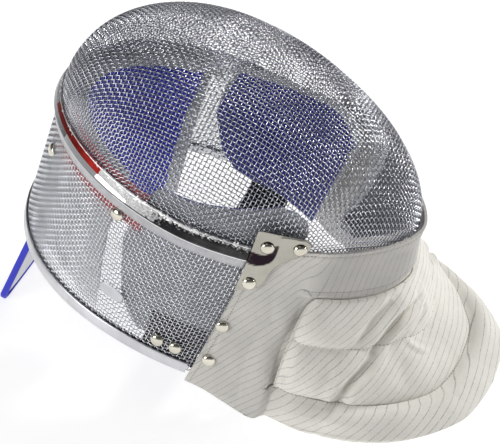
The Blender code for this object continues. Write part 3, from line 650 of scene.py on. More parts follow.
# Sections of the band and the rear trim: offset out of the wall, and z or height over the rim's edge, in mm.
BAND_PROFILE = (
    (0.75, 0.62), (1.05, 0.35), (1.7, -1.2), (2.5, -3.2), (2.98, -4.9), (3.72, -7.5), (3.98, -8.3),
    (4.05, -8.8), (3.98, -9.3), (3.6, -10.2), (2.9, -12.8), (2.1, -15.6), (1.42, -18.0), (1.2, -18.45),
    (0.75, -18.6), (0.5, -18.3), (1.3, -15.0), (2.7, -10.0), (2.85, -8.2), (0.15, 0.2), (0.35, 0.5),
)
RIM_PROFILE = (
    (1.1, 9.0), (1.35, 8.6), (1.35, 1.1), (1.2, 0.4), (0.6, 0.0), (-2.6, 0.0), (-3.2, 0.4),
    (-3.35, 1.1), (-3.35, 8.6), (-3.1, 9.0), (-2.4, 9.0), (-2.4, 1.5), (0.4, 1.5), (0.4, 9.0),
)
BAND_END_Y, RIM_END_Y = -52.3 * MM, -41 * MM
# Last steps of the band's section on its upper bevel, lower bevel, shadowed edge, crest and outer flank.
BEVEL, FOOT, EDGE, CREST, FLANK = 3, 5, 6, 7, 14
# Reaches of the band, by y: the painted red reflection, the bright streak, which is a painted highlight, and
# the bright crest near the jaw.
RED_REFLECTION_Y, STREAK_Y, BRIGHT_CREST_Y = (67 * MM, 121 * MM), (40 * MM, 102 * MM), 50 * MM
BAND_FINISHES = "chrome satin red soldered streak dull shadowed"


def build_trims():
    rings = sweep([(offset, level_at(z * MM)) for offset, z in BAND_PROFILE], BAND_END_Y)
    middle = rings.mean(1)

    def finish(x, y, k):
        # The red on the upper bevel is a painted reflection.
        if k <= BEVEL:
            return "red" if x < 0 and RED_REFLECTION_Y[0] < y < RED_REFLECTION_Y[1] else "soldered"
        # The streak on the lower bevel is a painted highlight.
        if k <= FOOT:
            return "streak" if STREAK_Y[0] < y < STREAK_Y[1] else "dull" if y >= STREAK_Y[1] else "soldered"
        if k == EDGE:
            return "shadowed"
        return "satin" if k <= FLANK and (k > CREST or y >= BRIGHT_CREST_Y) else "chrome"

    def pick(row, k):
        return BAND_FINISHES.split().index(finish(*middle[row, :2], k))

    # Solder runs down over the band's inner bevel: all of it at the crown, and ragged drips towards the jaw.
    down = np.linspace(0, 1, 5)
    heavy = smooth((middle[:, 1] - 2 * MM) / (30 * MM))[:, None]
    solder = np.zeros(rings.shape[:2])
    solder[:, :5] = heavy * 0.9 + (1 - heavy) * (1.0 - 1.05 * down)
    solder[:, 5:EDGE] = heavy * 0.9 - (1 - heavy) * 0.05
    skin("chrome_band_form", rings, BAND_FINISHES, "chrome", "chrome_band", pick, 50, {"solder": solder})
    rings = sweep([(offset, over_rim(height * MM)) for offset, height in RIM_PROFILE], RIM_END_Y)
    skin("rear_rim_form", rings, "rim", "aluminium", "rear_rim", sharp=50)


# ---------------------------------------------------------------- bib

FABRIC, GAP = 2.0 * MM, 0.35 * MM
# Columns: top_y, collar_x, collar_y, mid_x, mid_y, mid_z, hem_x, hem_y and hem_lift over the floor, in mm.
BIB_SECTIONS = np.array((
    (-55.5, 81.0, -53.0, 93.0, -48.0, -82.0, 104.0, -42.5, 37.0),
    (-68.0, 77.0, -67.0, 90.0, -65.0, -84.0, 102.0, -58.0, 28.0),
    (-81.0, 72.0, -81.0, 88.0, -82.0, -84.0, 99.5, -77.0, 12.0),
    (-93.0, 67.0, -93.0, 86.0, -97.0, -83.0, 97.5, -96.0, 1.5),
    (-104.0, 61.0, -104.0, 79.5, -106.0, -84.0, 88.5, -105.0, 2.5),
    (-119.0, 50.0, -121.0, 74.0, -128.0, -83.0, 91.0, -140.0, 2.5),
    (-131.0, 38.0, -133.0, 64.0, -149.5, -81.0, 85.5, -173.5, 2.5),
    (-139.0, 25.5, -142.0, 46.0, -168.0, -80.5, 66.5, -205.3, 2.5),
    (-143.5, 12.5, -148.0, 24.0, -181.5, -80.0, 39.3, -226.2, 2.5),
    (-144.9, 0.0, -150.0, 0.0, -185.5, -79.5, 0.0, -232.2, 2.5),
))
HEM_SKEW, SKEW_FROM_Y, SKEW_REACH = 11.2 * MM, -150 * MM, 88 * MM
COLLAR_RISE, COLLAR_DEPTH = 1.5 * MM, 29.0 * MM
LEVELS = (0.0, 0.22, 0.58, 1.0)
MIDDLE = len(BIB_SECTIONS) - 1
LAST = 2.0 * MIDDLE
# The quilted front's corner and levels, and how far its edge bows out over the flap, in sections.
PANEL_SECTION, PANEL_LEVEL, PANEL_SPAN, PANEL_BOW = 4, 0.25, 0.54, 0.68
PANEL_RISE, SEAM_RISE, CROWN_RISE = 2.4 * MM, 2.8 * MM, (7.4 * MM, 8.8 * MM)
# The stuffed border in mm: its thickness at levels of the cloth, then its roll out over the hem, and height.
BORDER_PUFFS = ((0.785, 3.2), (0.805, 4.8), (0.835, 7.8), (0.88, 9.8), (0.93, 9.6), (1.0, 8.5))
HEM_ROLL = ((9.3, 5.0), (8.6, 2.0), (6.5, 0.0), (1.3, 0.0))
# Where the seams run: levels below the top and above the collar's edge, and sections from a flap's edge.
TOP_SEAM, COLLAR_SEAM_RISE, FLAP_SEAM = 0.035, 0.028, 0.3
SEAM_WIDTH, SEAM_DEPTH, COLLAR_LAYER = 0.006, 0.45 * MM, 1.5 * MM
# The border starts before the quilted front, grows to its fullness, and lies flat at its ends: in sections.
BORDER = dict(start=1.3, grow_near=2.4, grow_far=1.0, sunk=0.5, flat=0.9, under=1.2)
# Rumples of each layer: their size and depth, and a seed.
RUMPLES = {
    "shell": (34 * MM, 0.9 * MM, 3.1),
    "quilt": (22 * MM, 1.5 * MM, 7.7),
    "border": (26 * MM, 1.1 * MM, 12.3),
}
# Direction across the sloping ribs of the cloth, from the flap's lower corner.
RIBS_ACROSS = np.array([0.142, -0.82, -0.553])
# Painted shade on the flaps: how grey they are, out to a section, and over how many sections it fades.
FLAP_GREY, FLAP_GREY_TO, FLAP_GREY_FADE = 0.55, 4.6, 1.5


def from_end(section):
    """Sections from the nearer flap edge."""
    return np.minimum(section, LAST - section)


def bib(section, level):
    """Outer surface of the bib's fabric: section 0 is one flap's edge, and level 0 the collar's top."""
    shape = np.broadcast(section, level).shape
    section, level = (np.broadcast_to(v, shape).ravel().astype(float) for v in (section, level))
    row = catmull(BIB_SECTIONS, from_end(section)) * MM
    top_y, collar_x, collar_y, mid_x, mid_y, mid_z, hem_x, hem_y, hem_lift = row.T
    top_y = np.maximum(top_y, -BAND_OUTLINE[3])
    near_chin = (top_y / BAND_OUTLINE[3]) ** 6
    rise = edge_height(top_y) + COLLAR_RISE * np.clip((JAW_Y - 10 * MM - top_y) / (10 * MM), 0, 1)
    top_x = egg_width(top_y, BAND_OUTLINE) + (FABRIC + GAP) * (1 - near_chin)
    path = np.stack([
        np.stack([top_x, top_y - (FABRIC + GAP) * near_chin, rise], -1),
        np.stack([collar_x, collar_y, np.full_like(collar_x, -COLLAR_DEPTH)], -1),
        np.stack([mid_x, mid_y, mid_z], -1),
        np.stack([hem_x, hem_y, floor_z(hem_y) + hem_lift], -1),
    ])
    x, y, z = catmull(path, np.interp(level, LEVELS, range(4)), np.arange(len(level))).T
    skew = HEM_SKEW * level * np.maximum(0, (SKEW_FROM_Y - y) / SKEW_REACH)
    return np.stack([np.where(section <= MIDDLE, -x, x) - skew, y, z], -1).reshape(*shape, 3)


def bib_normal(section, level, step=0.02):
    across = bib(np.minimum(section + step, LAST), level) - bib(np.maximum(section - step, 0), level)
    down = bib(section, np.minimum(level + step, 1)) - bib(section, np.maximum(level - step, 0))
    return unit(np.cross(down, across))


def clear_of_wall(points, clearance):
    """Move points out to a clearance from the mask body's wall, where they are nearer."""
    half, centre, _, down, power = np.moveaxis(outline_at(np.clip(-points[..., 2], 0, RIM_DEPTH)), -1, 0)
    side, along = np.abs(points[..., 0]) / half, np.abs(points[..., 1] - centre) / down
    level = (side ** power + along ** power) ** (1 / power)
    slope_x = np.copysign(side ** (power - 1) / half, points[..., 0])
    slope = np.stack([slope_x, -along ** (power - 1) / down, 0 * side], -1)
    slope *= (level ** (1 - power))[..., None]
    length = np.linalg.norm(slope, axis=-1)
    push = np.maximum(0, clearance - (level - 1) / length) * (points[..., 1] < centre)
    return points + slope / length[..., None] * push[..., None]


# Creases pressed into the cloth. Columns: section and level at three places, depth and half width in mm.
CREASES = np.array((
    (3.95, 0.26, 3.15, 0.52, 3.85, 0.82, 4.2, 6.5),
    (8.5, 0.36, 7.35, 0.375, 6.40, 0.49, 6.4, 3.6),
    (7.2, 0.29, 6.30, 0.355, 5.85, 0.45, 4.4, 4.0),
    (6.5, 0.49, 5.85, 0.63, 5.50, 0.80, 6.4, 4.0),
    (7.65, 0.48, 7.85, 0.53, 8.15, 0.59, -1.3, 2.2),
    (7.6, 0.46, 8.30, 0.45, 8.90, 0.40, 1.8, 2.4),
    (4.6, 0.30, 4.90, 0.37, 5.10, 0.45, 0.9, 4.0),
    (5.0, 0.52, 5.20, 0.60, 5.10, 0.72, 0.8, 4.0),
    (7.4, 0.56, 7.20, 0.66, 7.30, 0.76, 1.0, 5.0),
    (0.2, 0.56, 0.30, 0.65, 0.35, 0.75, 1.3, 2.4),
    (1.2, 0.30, 2.20, 0.42, 2.90, 0.60, 0.9, 6.0),
    (5.55, 0.79, 5.30, 0.90, 5.10, 1.00, 1.4, 3.0),
    (8.2, 0.84, 8.10, 0.92, 8.20, 1.00, 0.8, 4.0),
    (10.4, 0.38, 11.2, 0.40, 11.8, 0.48, 3.2, 3.0),
    (11.3, 0.50, 12.0, 0.62, 12.4, 0.78, 3.6, 3.4),
    (14.05, 0.26, 14.85, 0.52, 14.15, 0.82, 3.0, 5.0),
))


def creased(points, normals):
    """Sink points into the creases near them, and raise the cloth on both sides."""
    shift = np.zeros(points.shape[:-1])
    share = np.linspace(0, 1, 48)
    for *places, depth, width in CREASES:
        path = catmull(np.reshape(places, (3, 2)), share * 2)
        aways = (points - place for place in bib(path[:, 0], path[:, 1]))
        gaps = np.stack([(away ** 2).sum(-1) - (away * normals).sum(-1) ** 2 for away in aways], -1)
        away = np.sqrt(np.maximum(0, gaps.min(-1))) / (width * MM)
        taper = np.sqrt(np.sin(np.pi * np.clip(share[np.argmin(gaps, -1)], 0.02, 0.98)))
        shift += depth * MM * taper * (0.4 * np.exp(-((away - 1.9) / 1.1) ** 2) - np.exp(-away ** 2))
    return points + normals * shift[..., None]


def rumpled(points, layer):
    """Soft unevenness of a layer of stuffed cloth, as distances along the normals."""
    size, depth, seed = RUMPLES[layer]
    flat = points.reshape(-1, 3) / size + seed
    swells = np.array([noise.noise(Vector(place)) for place in flat])
    return swells.reshape(points.shape[:-1])[..., None] * depth


# Share of painted shade on the flaps, by section.
def flap_grey(section):
    return FLAP_GREY * smooth((FLAP_GREY_TO - from_end(section)) / FLAP_GREY_FADE)


def collar_edge(section):
    return 0.238 - 0.028 * smooth((from_end(section) - 7) / 2)


def middle_seam(section):
    return 0.475 + 0.04 * smooth((from_end(section) - 7.4) / 1.4)


def lower_seam(section):
    return 0.770 + 0.035 * smooth((from_end(section) - 5) / 3)


def panel_start(level):
    """Section where the quilted front begins: its edge bows out over the flap."""
    share = np.clip((level - PANEL_LEVEL) / (PANEL_SPAN + 0.02), 0, 1)
    return PANEL_SECTION - 0.05 - PANEL_BOW * np.sqrt(np.sin(np.pi * share))


def cloth_surface(section, level):
    """The bib's fabric wall, with the collar's second layer, its seams and its creases."""
    normal = bib_normal(section, level)
    points = clear_of_wall(bib(section, level), FABRIC + GAP)
    layered = smooth((from_end(section) - 2.6) / 1.2)
    over = COLLAR_LAYER * smooth((collar_edge(section) - level) / 0.010 + 0.5) * layered
    groove = np.exp(-((level - collar_edge(section) + COLLAR_SEAM_RISE) / SEAM_WIDTH) ** 2) * layered
    groove += np.exp(-((level - TOP_SEAM) / SEAM_WIDTH) ** 2)
    points = points + normal * (over - SEAM_DEPTH * groove)[..., None]
    points = points + normal * rumpled(points, "shell") * smooth((level[..., None] - 0.05) / 0.2)
    low = smooth((level - 0.2) / 0.1)[..., None]
    points = points * (1 - low) + creased(points, normal) * low
    return above_floor(clear_of_wall(points, FABRIC + GAP), GAP), normal


def quilt_surface(section, level):
    """Top of the quilted front: two stuffed channels that pull in at their seams."""
    normal = bib_normal(section, level)
    base = clear_of_wall(bib(section, level), FABRIC + GAP) + normal * 2 * GAP
    seam, low = middle_seam(section), lower_seam(section)
    rise = np.zeros(level.shape)
    for start, end, first, crown in ((PANEL_LEVEL, seam, PANEL_RISE, CROWN_RISE[0]),
                                     (seam, low, SEAM_RISE, CROWN_RISE[1])):
        place = (level - start) / (end - start)
        foot = first + (SEAM_RISE - first) * np.clip(place, 0, 1)
        crowned = foot + (crown - foot) * np.maximum(0, 1 - np.abs(2 * place - 1) ** 2.4) ** 0.8
        rise = np.where((place >= 0) & (place <= 1), crowned, rise)
    start = panel_start(level)
    edge = np.minimum(section - start, LAST - start - section)
    rise = np.maximum(rise, PANEL_RISE) * (0.22 + 0.78 * np.sqrt(smooth(edge / 0.5)))
    points = base + normal * rise[..., None]
    points = points + normal * rumpled(points, "quilt") * smooth(edge / 0.4)[..., None]
    points = creased(points, normal)
    lift = ((points - base) * normal).sum(-1)
    return points + normal * np.maximum(0, 0.9 * MM - lift)[..., None], base, normal


def stripe_place(points, section, level):
    """Distance across the cloth's ribs: sloping ones on the panels, upright ones round the collar's front."""
    steps = np.linspace(0, LAST, 181)
    rim = bib(steps, 0.1)
    length = walked(rim)
    front, match = 90, 45
    along = np.abs(length[match] - length[front]) - np.abs(np.interp(section, steps, length) - length[front])
    upright = smooth((from_end(section) - 2.6) / 1.8) * (level < collar_edge(section) + 0.012)
    return points @ RIBS_ACROSS * (1 - upright) + (along + rim[match] @ RIBS_ACROSS) * upright


# Places along a stitch, as shares of its length, and how high its thread lies there.
STITCH_LENGTH, STITCH_SPOTS = 1.5 * MM, np.array([-0.5, -0.3, 0.0, 0.3, 0.5])
STITCH_LIFTS = np.array([-0.35, 0.1, 0.25, 0.1, -0.35])[:, None] * MM


def stitches(name, surface, spacing=2.6 * MM, radius=0.32 * MM):
    """A row of sewn stitches lying on a line of points with normals."""
    points, normals = surface
    distance = walked(points)
    lines = []
    for middle in np.arange(spacing / 2, distance[-1], spacing):
        spots = middle + STITCH_SPOTS * STITCH_LENGTH
        line, up = (np.stack([np.interp(spots, distance, values[:, k]) for k in range(3)], -1)
                    for values in (points, normals))
        lines.append((line + unit(up) * STITCH_LIFTS, unit(up)))
    return tube_piece(name, lines, radius, "thread", "striped_fabric")


def build_stitching():
    """The rows of sewn stitches along the cloth's seams."""
    made = []
    sections = np.linspace(PANEL_SECTION - 0.4, LAST - PANEL_SECTION + 0.4, 400)
    for name, seam in (("stitches_middle", middle_seam), ("stitches_lower", lower_seam)):
        top, _, normal = quilt_surface(sections, seam(sections))
        made.append(stitches(name, (top, normal), 2.9 * MM, 0.5 * MM))
    wide, whole = np.linspace(3.0, LAST - 3.0, 500), np.linspace(0.02, LAST - 0.02, 600)
    made.append(stitches("stitches_collar", cloth_surface(wide, collar_edge(wide) - COLLAR_SEAM_RISE)))
    made.append(stitches("stitches_top", cloth_surface(whole, np.full(600, TOP_SEAM))))
    for name, section in (("stitches_flap_right", FLAP_SEAM), ("stitches_flap_left", LAST - FLAP_SEAM)):
        made.append(stitches(name, cloth_surface(np.full(200, section), np.linspace(0.1, 0.96, 200))))
    return made


def build_border():
    """The stuffed border: over the cloth, out over the hem and under it."""
    first = PANEL_SECTION - BORDER["start"]
    sections = np.linspace(first, LAST - first, 241)
    edge = np.minimum(sections - sections[0], sections[-1] - sections)
    blend = np.where(sections < MIDDLE, BORDER["grow_near"], BORDER["grow_far"])
    full, near = 0.04 + 0.96 * smooth(edge / blend), smooth(edge / blend)
    # At its ends the border sinks into the cloth, and its upper edge is sewn flat up to the quilted front.
    seat = GAP * (3 * smooth(edge / BORDER["sunk"]) - 1)[:, None]
    sewn = 0.08 + 0.92 * smooth(edge / BORDER["flat"] - 1)
    top_level = BORDER_PUFFS[0][0]
    shift = lower_seam(sections) + 0.001 - top_level
    control = []
    for level, puff in BORDER_PUFFS:
        here = level + shift * (1 - level) / (1 - top_level)
        normal = bib_normal(sections, here)
        rise = puff * MM * full * (sewn if level == top_level else 1.0)
        control.append(cloth_surface(sections, here)[0] + normal * (seat + rise[:, None]))
    hem = cloth_surface(sections, np.ones(len(sections)))[0]
    outward = unit(bib_normal(sections, 1.0) * np.array([1, 1, 0]))
    for reach, height in HEM_ROLL:
        grown = full if reach > 2 else 0.12 + 0.88 * smooth(edge / BORDER["under"])
        place = hem + outward * (reach * MM * grown)[:, None]
        edge_z = hem[:, 2] + (height - 2.5) * 0.2 * MM
        z = edge_z + (floor_z(place[:, 1]) + height * MM - edge_z) * near
        control.append(np.stack([place[:, 0], place[:, 1], z], -1))
    control = np.stack(control)
    over = np.stack([curve(control[:, k], 46) for k in range(len(sections))])
    turned, level = grid(sections, np.linspace(1.0, 0.80, 8))
    sunk = np.where(seat > 0, seat, 4 * seat)[:, None]
    under = cloth_surface(turned, level)[0] + bib_normal(turned, level) * sunk

    normal = np.cross(np.gradient(over, axis=1), np.gradient(over, axis=0))
    normal /= np.maximum(np.linalg.norm(normal, axis=-1, keepdims=True), 1e-12)
    rows = np.linspace(0, 1, over.shape[1])[None, :, None]
    loose = smooth(rows / 0.1) * smooth((0.8 - rows) / 0.15) * smooth(edge[:, None, None] / 2.0)
    over = above_floor(over + normal * rumpled(over, "border") * loose)
    rings = np.concatenate([over, under], 1)
    stripe = np.zeros(rings.shape[:2])
    stripe[:, :over.shape[1]] = stripe_place(over, sections[:, None], 2.0)
    # Painted shade on the border where it runs along the flaps.
    painted_shade = flap_grey(sections)[:, None] + 0 * stripe
    roll = skin("bib_roll", rings, "bib", "striped_fabric", "bib_border", sharp=70,
                fields={"stripe": stripe, "painted_shade": painted_shade})


def build_bib():
    levels = np.concatenate([np.linspace(0, 0.28, 40), np.linspace(0.28, 1, 52)[1:]])
    section, level = grid(np.linspace(0, LAST, 289), levels)
    outer, normal = cloth_surface(section, level)
    inner = above_floor(clear_of_wall(outer - normal * FABRIC, GAP), GAP)
    stripe = stripe_place(outer, section, level)
    # Painted shade: the collar band, away from the flap edges, and the flaps are greyed.
    collar = smooth((collar_edge(section) - level) / 0.02 + 0.5) * smooth((from_end(section) - 1.5) / 3)
    painted_shade = np.maximum(flap_grey(section), collar)
    cloth_piece = skin("bib_cloth", shell(outer, inner), "bib", "striped_fabric", "bib_shell", sharp=70,
                       fields={"stripe": shell(stripe, stripe), "painted_shade": shell(painted_shade, painted_shade)})

    turn, share = grid(np.linspace(0, 1, 241), np.linspace(0, 1, 76))
    start = panel_start(PANEL_LEVEL + PANEL_SPAN * share)
    section = start + (LAST - 2 * start) * turn
    level = PANEL_LEVEL + share * (lower_seam(section) - PANEL_LEVEL)
    top, base, _ = quilt_surface(section, level)
    stripe = stripe_place(top, section, level + 1)
    quilt = skin("bib_quilt", shell(top, base), "bib", "striped_fabric", "bib_panel", sharp=70,
                 fields={"stripe": shell(stripe, stripe)})
    build_border()
    seams = build_stitching()


# ---------------------------------------------------------------- pads

PAD_OFFSET, PAD_CORNER = 5.6 * MM, 0.3
CROWN_PAD = dict(thickness=16 * MM, top=-6 * MM, bottom=-116 * MM, swell=2.2 * MM)
CROWN_PAD_END = dict(
    start=0.46, full=0.8, bottom=-150 * MM, lean=24 * MM, lean_from=-60 * MM, y=47.5 * MM, slope=6 * MM,
    bevel=9 * MM, bevel_growth=10 * MM,
)
CHEEK_PAD = dict(thickness=14 * MM, end_front=-86 * MM, end_rear=-70 * MM, rear=-111.5 * MM, swell=1.8 * MM,
                 inset=5 * MM, inset_from=-50 * MM, inset_reach=40 * MM)
# The cheek pad's top, as y and z, and where it starts, as a level and y in mm.
CHEEK_TOPS = np.array(((39, -1), (28, 2), (-6, 8), (-35, 17), (-62, 28), (-74, 24), (-86, 12))) * MM
CHEEK_STARTS = np.array(((0.0, 28), (0.2, 35), (0.4, 38.5), (0.6, 33), (0.8, 26), (0.9, 17.5), (1.0, 5)))
CHIN_PAD = dict(edge_y=-97 * MM, inset=3.3 * MM, half_width=44 * MM, middle=26 * MM)
# The chin pad's section: share of the way to the mesh, and z in mm.
CHIN_TOP = ((0.0, 30.5), (0.05, 33.5), (0.45, 31.5), (0.94, 25.0))
CHIN_UNDER = ((1.0, 18.0), (0.5, 19.0), (0.06, 21.5), (0.0, 24.5))
# Near a pad's end: places along it, and how far its section has grown there.
PAD_ENDS = ((0.0, 0.72), (0.006, 0.9), (0.016, 0.98))
PAD_END_STEP = 0.012


def pad_profile(corner_level, corner_depth=PAD_CORNER, steps=24):
    """Closed section of a pad: levels and depths, out along its back, round the rear, and up its face."""
    turns = np.linspace(0, np.pi / 2, 6)
    level, depth = [], []
    for way, start, end in ((1, 0, 1), (-1, 1, 0)):
        middle = np.linspace(start + way * corner_level, end - way * corner_level, steps)
        level += [middle, end - way * corner_level * (1 - np.sin(turns[1:]))]
        face = 0.0 if way > 0 else 1.0
        depth += [np.full(steps, face), face + way * corner_depth * (1 - np.cos(turns[1:]))]
        level += [np.full(5, float(end))]
        depth += [np.linspace(face + way * corner_depth, 1 - face - way * corner_depth, 7)[1:-1]]
        level += [end - way * corner_level * (1 - np.cos(turns[:-1]))]
        depth += [1 - face - way * corner_depth * (1 - np.sin(turns[:-1]))]
    return np.concatenate(level), np.concatenate(depth)


def pad_grid(corner_level, count):
    """Shares along a pad, and levels and depths over its section, which shrinks at the pad's ends."""
    level, depth = pad_profile(corner_level)
    near, grown = zip(*PAD_ENDS)
    inner = near[-1] + PAD_END_STEP
    places = np.concatenate([near, np.linspace(inner, 1 - inner, count), 1 - np.array(near[::-1])])
    grown = np.concatenate([grown, np.ones(count), grown[::-1]])[:, None]
    share, level = grid(places, level)
    return share, 0.5 + (level - 0.5) * (0.96 + 0.04 * grown), 0.5 + (depth - 0.5) * grown


def crown_pad_place(turn, level, depth):
    top, end = CROWN_PAD["top"], CROWN_PAD_END
    share = smooth((np.abs(turn) - end["start"]) / (end["full"] - end["start"]))
    bottom = CROWN_PAD["bottom"] + (end["bottom"] - CROWN_PAD["bottom"]) * share
    z = top + (bottom - top) * level
    lean = end["lean"] * share * np.maximum(0, (end["lean_from"] - z) / (end["lean_from"] - end["bottom"]))
    end_y = end["y"] + end["slope"] * level
    end_y += (end["bevel"] + end["bevel_growth"] * level) * depth / CROWN_PAD["thickness"]
    points, out = wall_at(turn * egg_angle(end_y, outline_at(-z)), z)
    return points - out * (PAD_OFFSET + lean + depth)[..., None]


def build_crown_pad():
    share, level, depth = pad_grid(0.04, 97)
    swell = CROWN_PAD["swell"] * np.sin(np.pi * level) * (depth > 0.6)
    rings = crown_pad_place(share * 2 - 1, level, depth * CROWN_PAD["thickness"] + swell)
    level, depth = level[len(level) // 2], depth[len(depth) // 2]

    def pick(row, k):
        return 1 if depth[k] > 0.8 and level[k] > 0.012 else 2 if depth[k] < 0.25 and level[k] > 0.05 else 0
    pad = skin("crown_pad_cushion", rings, "grey blue pale", "blue_fabric", "crown_pad", pick)


def build_cheek_pads():
    share, level, depth = pad_grid(0.05, 57)
    start = np.interp(level, *CHEEK_STARTS.T) * MM
    end = CHEEK_PAD["end_front"] + (CHEEK_PAD["end_rear"] - CHEEK_PAD["end_front"]) * level
    y = start + (end - start) * share
    top = np.interp(-y, -CHEEK_TOPS[:, 0], CHEEK_TOPS[:, 1])
    z = top + (CHEEK_PAD["rear"] - top) * level
    inset = CHEEK_PAD["inset"] * np.clip((CHEEK_PAD["inset_from"] - y) / CHEEK_PAD["inset_reach"], 0, 1)
    swell = CHEEK_PAD["swell"] * np.sin(np.pi * level) * np.sin(np.pi * share) * (depth > 0.6)
    rings = side_offset(y, z, -PAD_OFFSET - inset - depth * CHEEK_PAD["thickness"] - swell)
    facing = depth[len(depth) // 2]

    def pick(row, k):
        return 1 if facing[k] > 0.75 else 0
    for side, turned in both_sides(rings):
        pad = skin("cheek_cushion_" + side, turned, "grey navy", "blue_fabric", "cheek_pad_" + side, pick)


def inner_y(x, z, inset):
    """y, towards the chin, where the inside of the front mesh is at x and z."""
    outline = inset_band(inset)
    near, far = np.full(x.shape, CHIN_PAD["edge_y"]), np.full(x.shape, -outline[3])
    for _ in range(30):
        y = (near + far) / 2
        narrowed = (1 - rise_share(y, z, inset) ** SECTION_POWER) ** (1 / SECTION_POWER)
        inside = egg_width(y, outline) * narrowed > np.abs(x)
        near, far = np.where(inside, y, near), np.where(inside, far, y)
    return near


def build_chin_pad():
    section = curve(np.array(CHIN_TOP + CHIN_UNDER + CHIN_TOP[:1]), 57)[:-1]
    half, edge_y, middle = CHIN_PAD["half_width"], CHIN_PAD["edge_y"], CHIN_PAD["middle"]
    x, place = grid(np.linspace(-1, 1, 61) * half, section[:, 0].clip(0, 1))
    grown = np.sqrt(smooth((1 - np.abs(x / half)) / 0.06 + 0.25))
    z = middle + (section[:, 1] * MM - middle) * grown
    y = edge_y + (inner_y(x, z, CHIN_PAD["inset"]) - edge_y) * place

    # The chin pad's slate outer face is darkened partly by painted shade.
    def pick(row, k):
        return 0 if section[k, 0] < 0.14 else 1
    pad = skin("chin_cushion", np.stack([x, y, z], -1), "piping slate", "grey_lining", "chin_pad", pick)


# ---------------------------------------------------------------- metal pieces

# The corner plate's sections: y, and z of its lower and upper edge, in mm.
PLATE_SECTIONS = np.array((
    (-50.5, -36, 19.5), (-55, -33.5, 20), (-60, -30.5, 20), (-65, -27, 20), (-67.5, -13, 20),
    (-72, -6, 20), (-77, -1, 20), (-80.5, 3, 20), (-83.5, 8, 18.5), (-85.5, 11.5, 16),
)) * MM
PLATE_THICKNESS, PLATE_SEAT, PLATE_HUMP = 1.0 * MM, 3.6 * MM, 1.6 * MM
# Where the plate's hump reflects the dark room: y, z and half width, in mm.
HOOK = np.array(((-51.0, -4.2, 5.0), (-54.0, -5.2, 5.0), (-58.0, -4.9, 4.7), (-61.8, -3.0, 3.9),
                 (-63.8, 1.2, 2.5), (-64.6, 5.5, 1.8), (-65.0, 9.8, 1.3)))
# The painted dark reflection along the plate's bent top edge: a thin line, in mm down from the edge.
EDGE_LINE = (0.35, 1.25)
RIVET_RADIUS, RIVET_HEIGHT = 5.0 * MM, 2.4 * MM
# Each rivet's name and what it sits on, and its y and z in mm.
RIVETS = (
    ("pad_rivet_crown", "mesh", 114, -39),
    ("pad_rivet_temple", "mesh", 44.5, -24.5),
    ("tab_rivet_front", "mesh", -14, -106),
    ("tab_rivet_rear", "mesh", -28, -106),
    ("plate_rivet_top", "plate", -59.5, 7.5),
    ("plate_rivet_front", "plate", -79.5, 10.5),
    ("plate_rivet_tail", "plate", -57.5, -27),
    ("flap_rivet_upper", "flap", -52.5, -71),
    ("flap_rivet_lower", "flap", -53.0, -104),
)
BADGE = dict(y=29.7 * MM, z=-88 * MM, length=20 * MM, height=10 * MM)
# Rings of the badge, as a share of its size and a height in mm.
BADGE_RINGS = ((0.96, 0.0), (1.0, 0.2), (1.0, 0.5), (0.95, 0.75), (0.85, 0.8), (0.4, 0.8))


def plate_lift(y, z):
    """Offset of the corner plate: it humps over the end of the band."""
    hump = np.exp(-((z + 9 * MM) / (11 * MM)) ** 2) * smooth((y + 74 * MM) / (18 * MM))
    return PLATE_SEAT + PLATE_HUMP * hump


def build_plates():
    y, low, high = curve(PLATE_SECTIONS, 64).T[..., None]
    height = np.linspace(0, 1, 40)
    z = low + (high - low) * height
    y = np.broadcast_to(y, z.shape)
    rim = np.minimum(np.minimum(height, 1 - height) * (high - low), np.minimum(y - y.min(), y.max() - y))
    worn = 0.35 * MM * (1 - np.sqrt(np.clip(rim / (0.9 * MM), 0, 1)))
    seat = plate_lift(y, z)
    rings = shell(side_offset(y, z, seat + PLATE_THICKNESS - worn), side_offset(y, z, seat))
    line = curve(HOOK, 40) * MM
    gaps = np.linalg.norm(np.stack([y, z], -1)[:, :, None] - line[:, :2], axis=-1) - line[:, 2]
    fall = (high - z) / MM
    # The edge line is a painted dark reflection, added to the hook's field.
    edge = 0.9 * smooth((fall - EDGE_LINE[0]) / 0.2) * smooth((EDGE_LINE[1] - fall) / 0.2)
    hook = np.maximum(smooth(0.5 - gaps.min(-1) / (0.9 * MM)), edge)
    for side, turned in both_sides(rings):
        skin("plate_form_" + side, turned, "plate", "nickel", "corner_plate_" + side, sharp=50,
             fields={"hook": shell(hook, 0 * hook)})


def build_rivets():
    profile = [(math.sin(a) ** 0.9, math.cos(a)) for a in np.linspace(0.12, math.pi / 2, 10)]
    profile += [(1.0, -0.06), (0.96, -0.12), (0.9, -0.12)]
    turn = np.arange(28)[:, None] / 28 * math.tau
    for name, wall, y, z in RIVETS:
        y, z = np.array(y * MM), np.array(z * MM)
        lift = {"mesh": GAP, "flap": FABRIC + 3 * GAP, "plate": plate_lift(y, z) + PLATE_THICKNESS + GAP}
        seat, normal = side_offset(y, z, lift[wall]), side_normal(y, z)
        across = unit(np.cross(normal, (0, 0, 1)))
        round_it = np.cos(turn) * across + np.sin(turn) * np.cross(across, normal)
        rings = [seat + radius * RIVET_RADIUS * round_it + normal * (height + 0.12) * RIVET_HEIGHT
                 for radius, height in profile]
        for side, turned in both_sides(rings):
            skin(name + "_dome_" + side, turned, "nickel", "nickel", name + "_" + side)


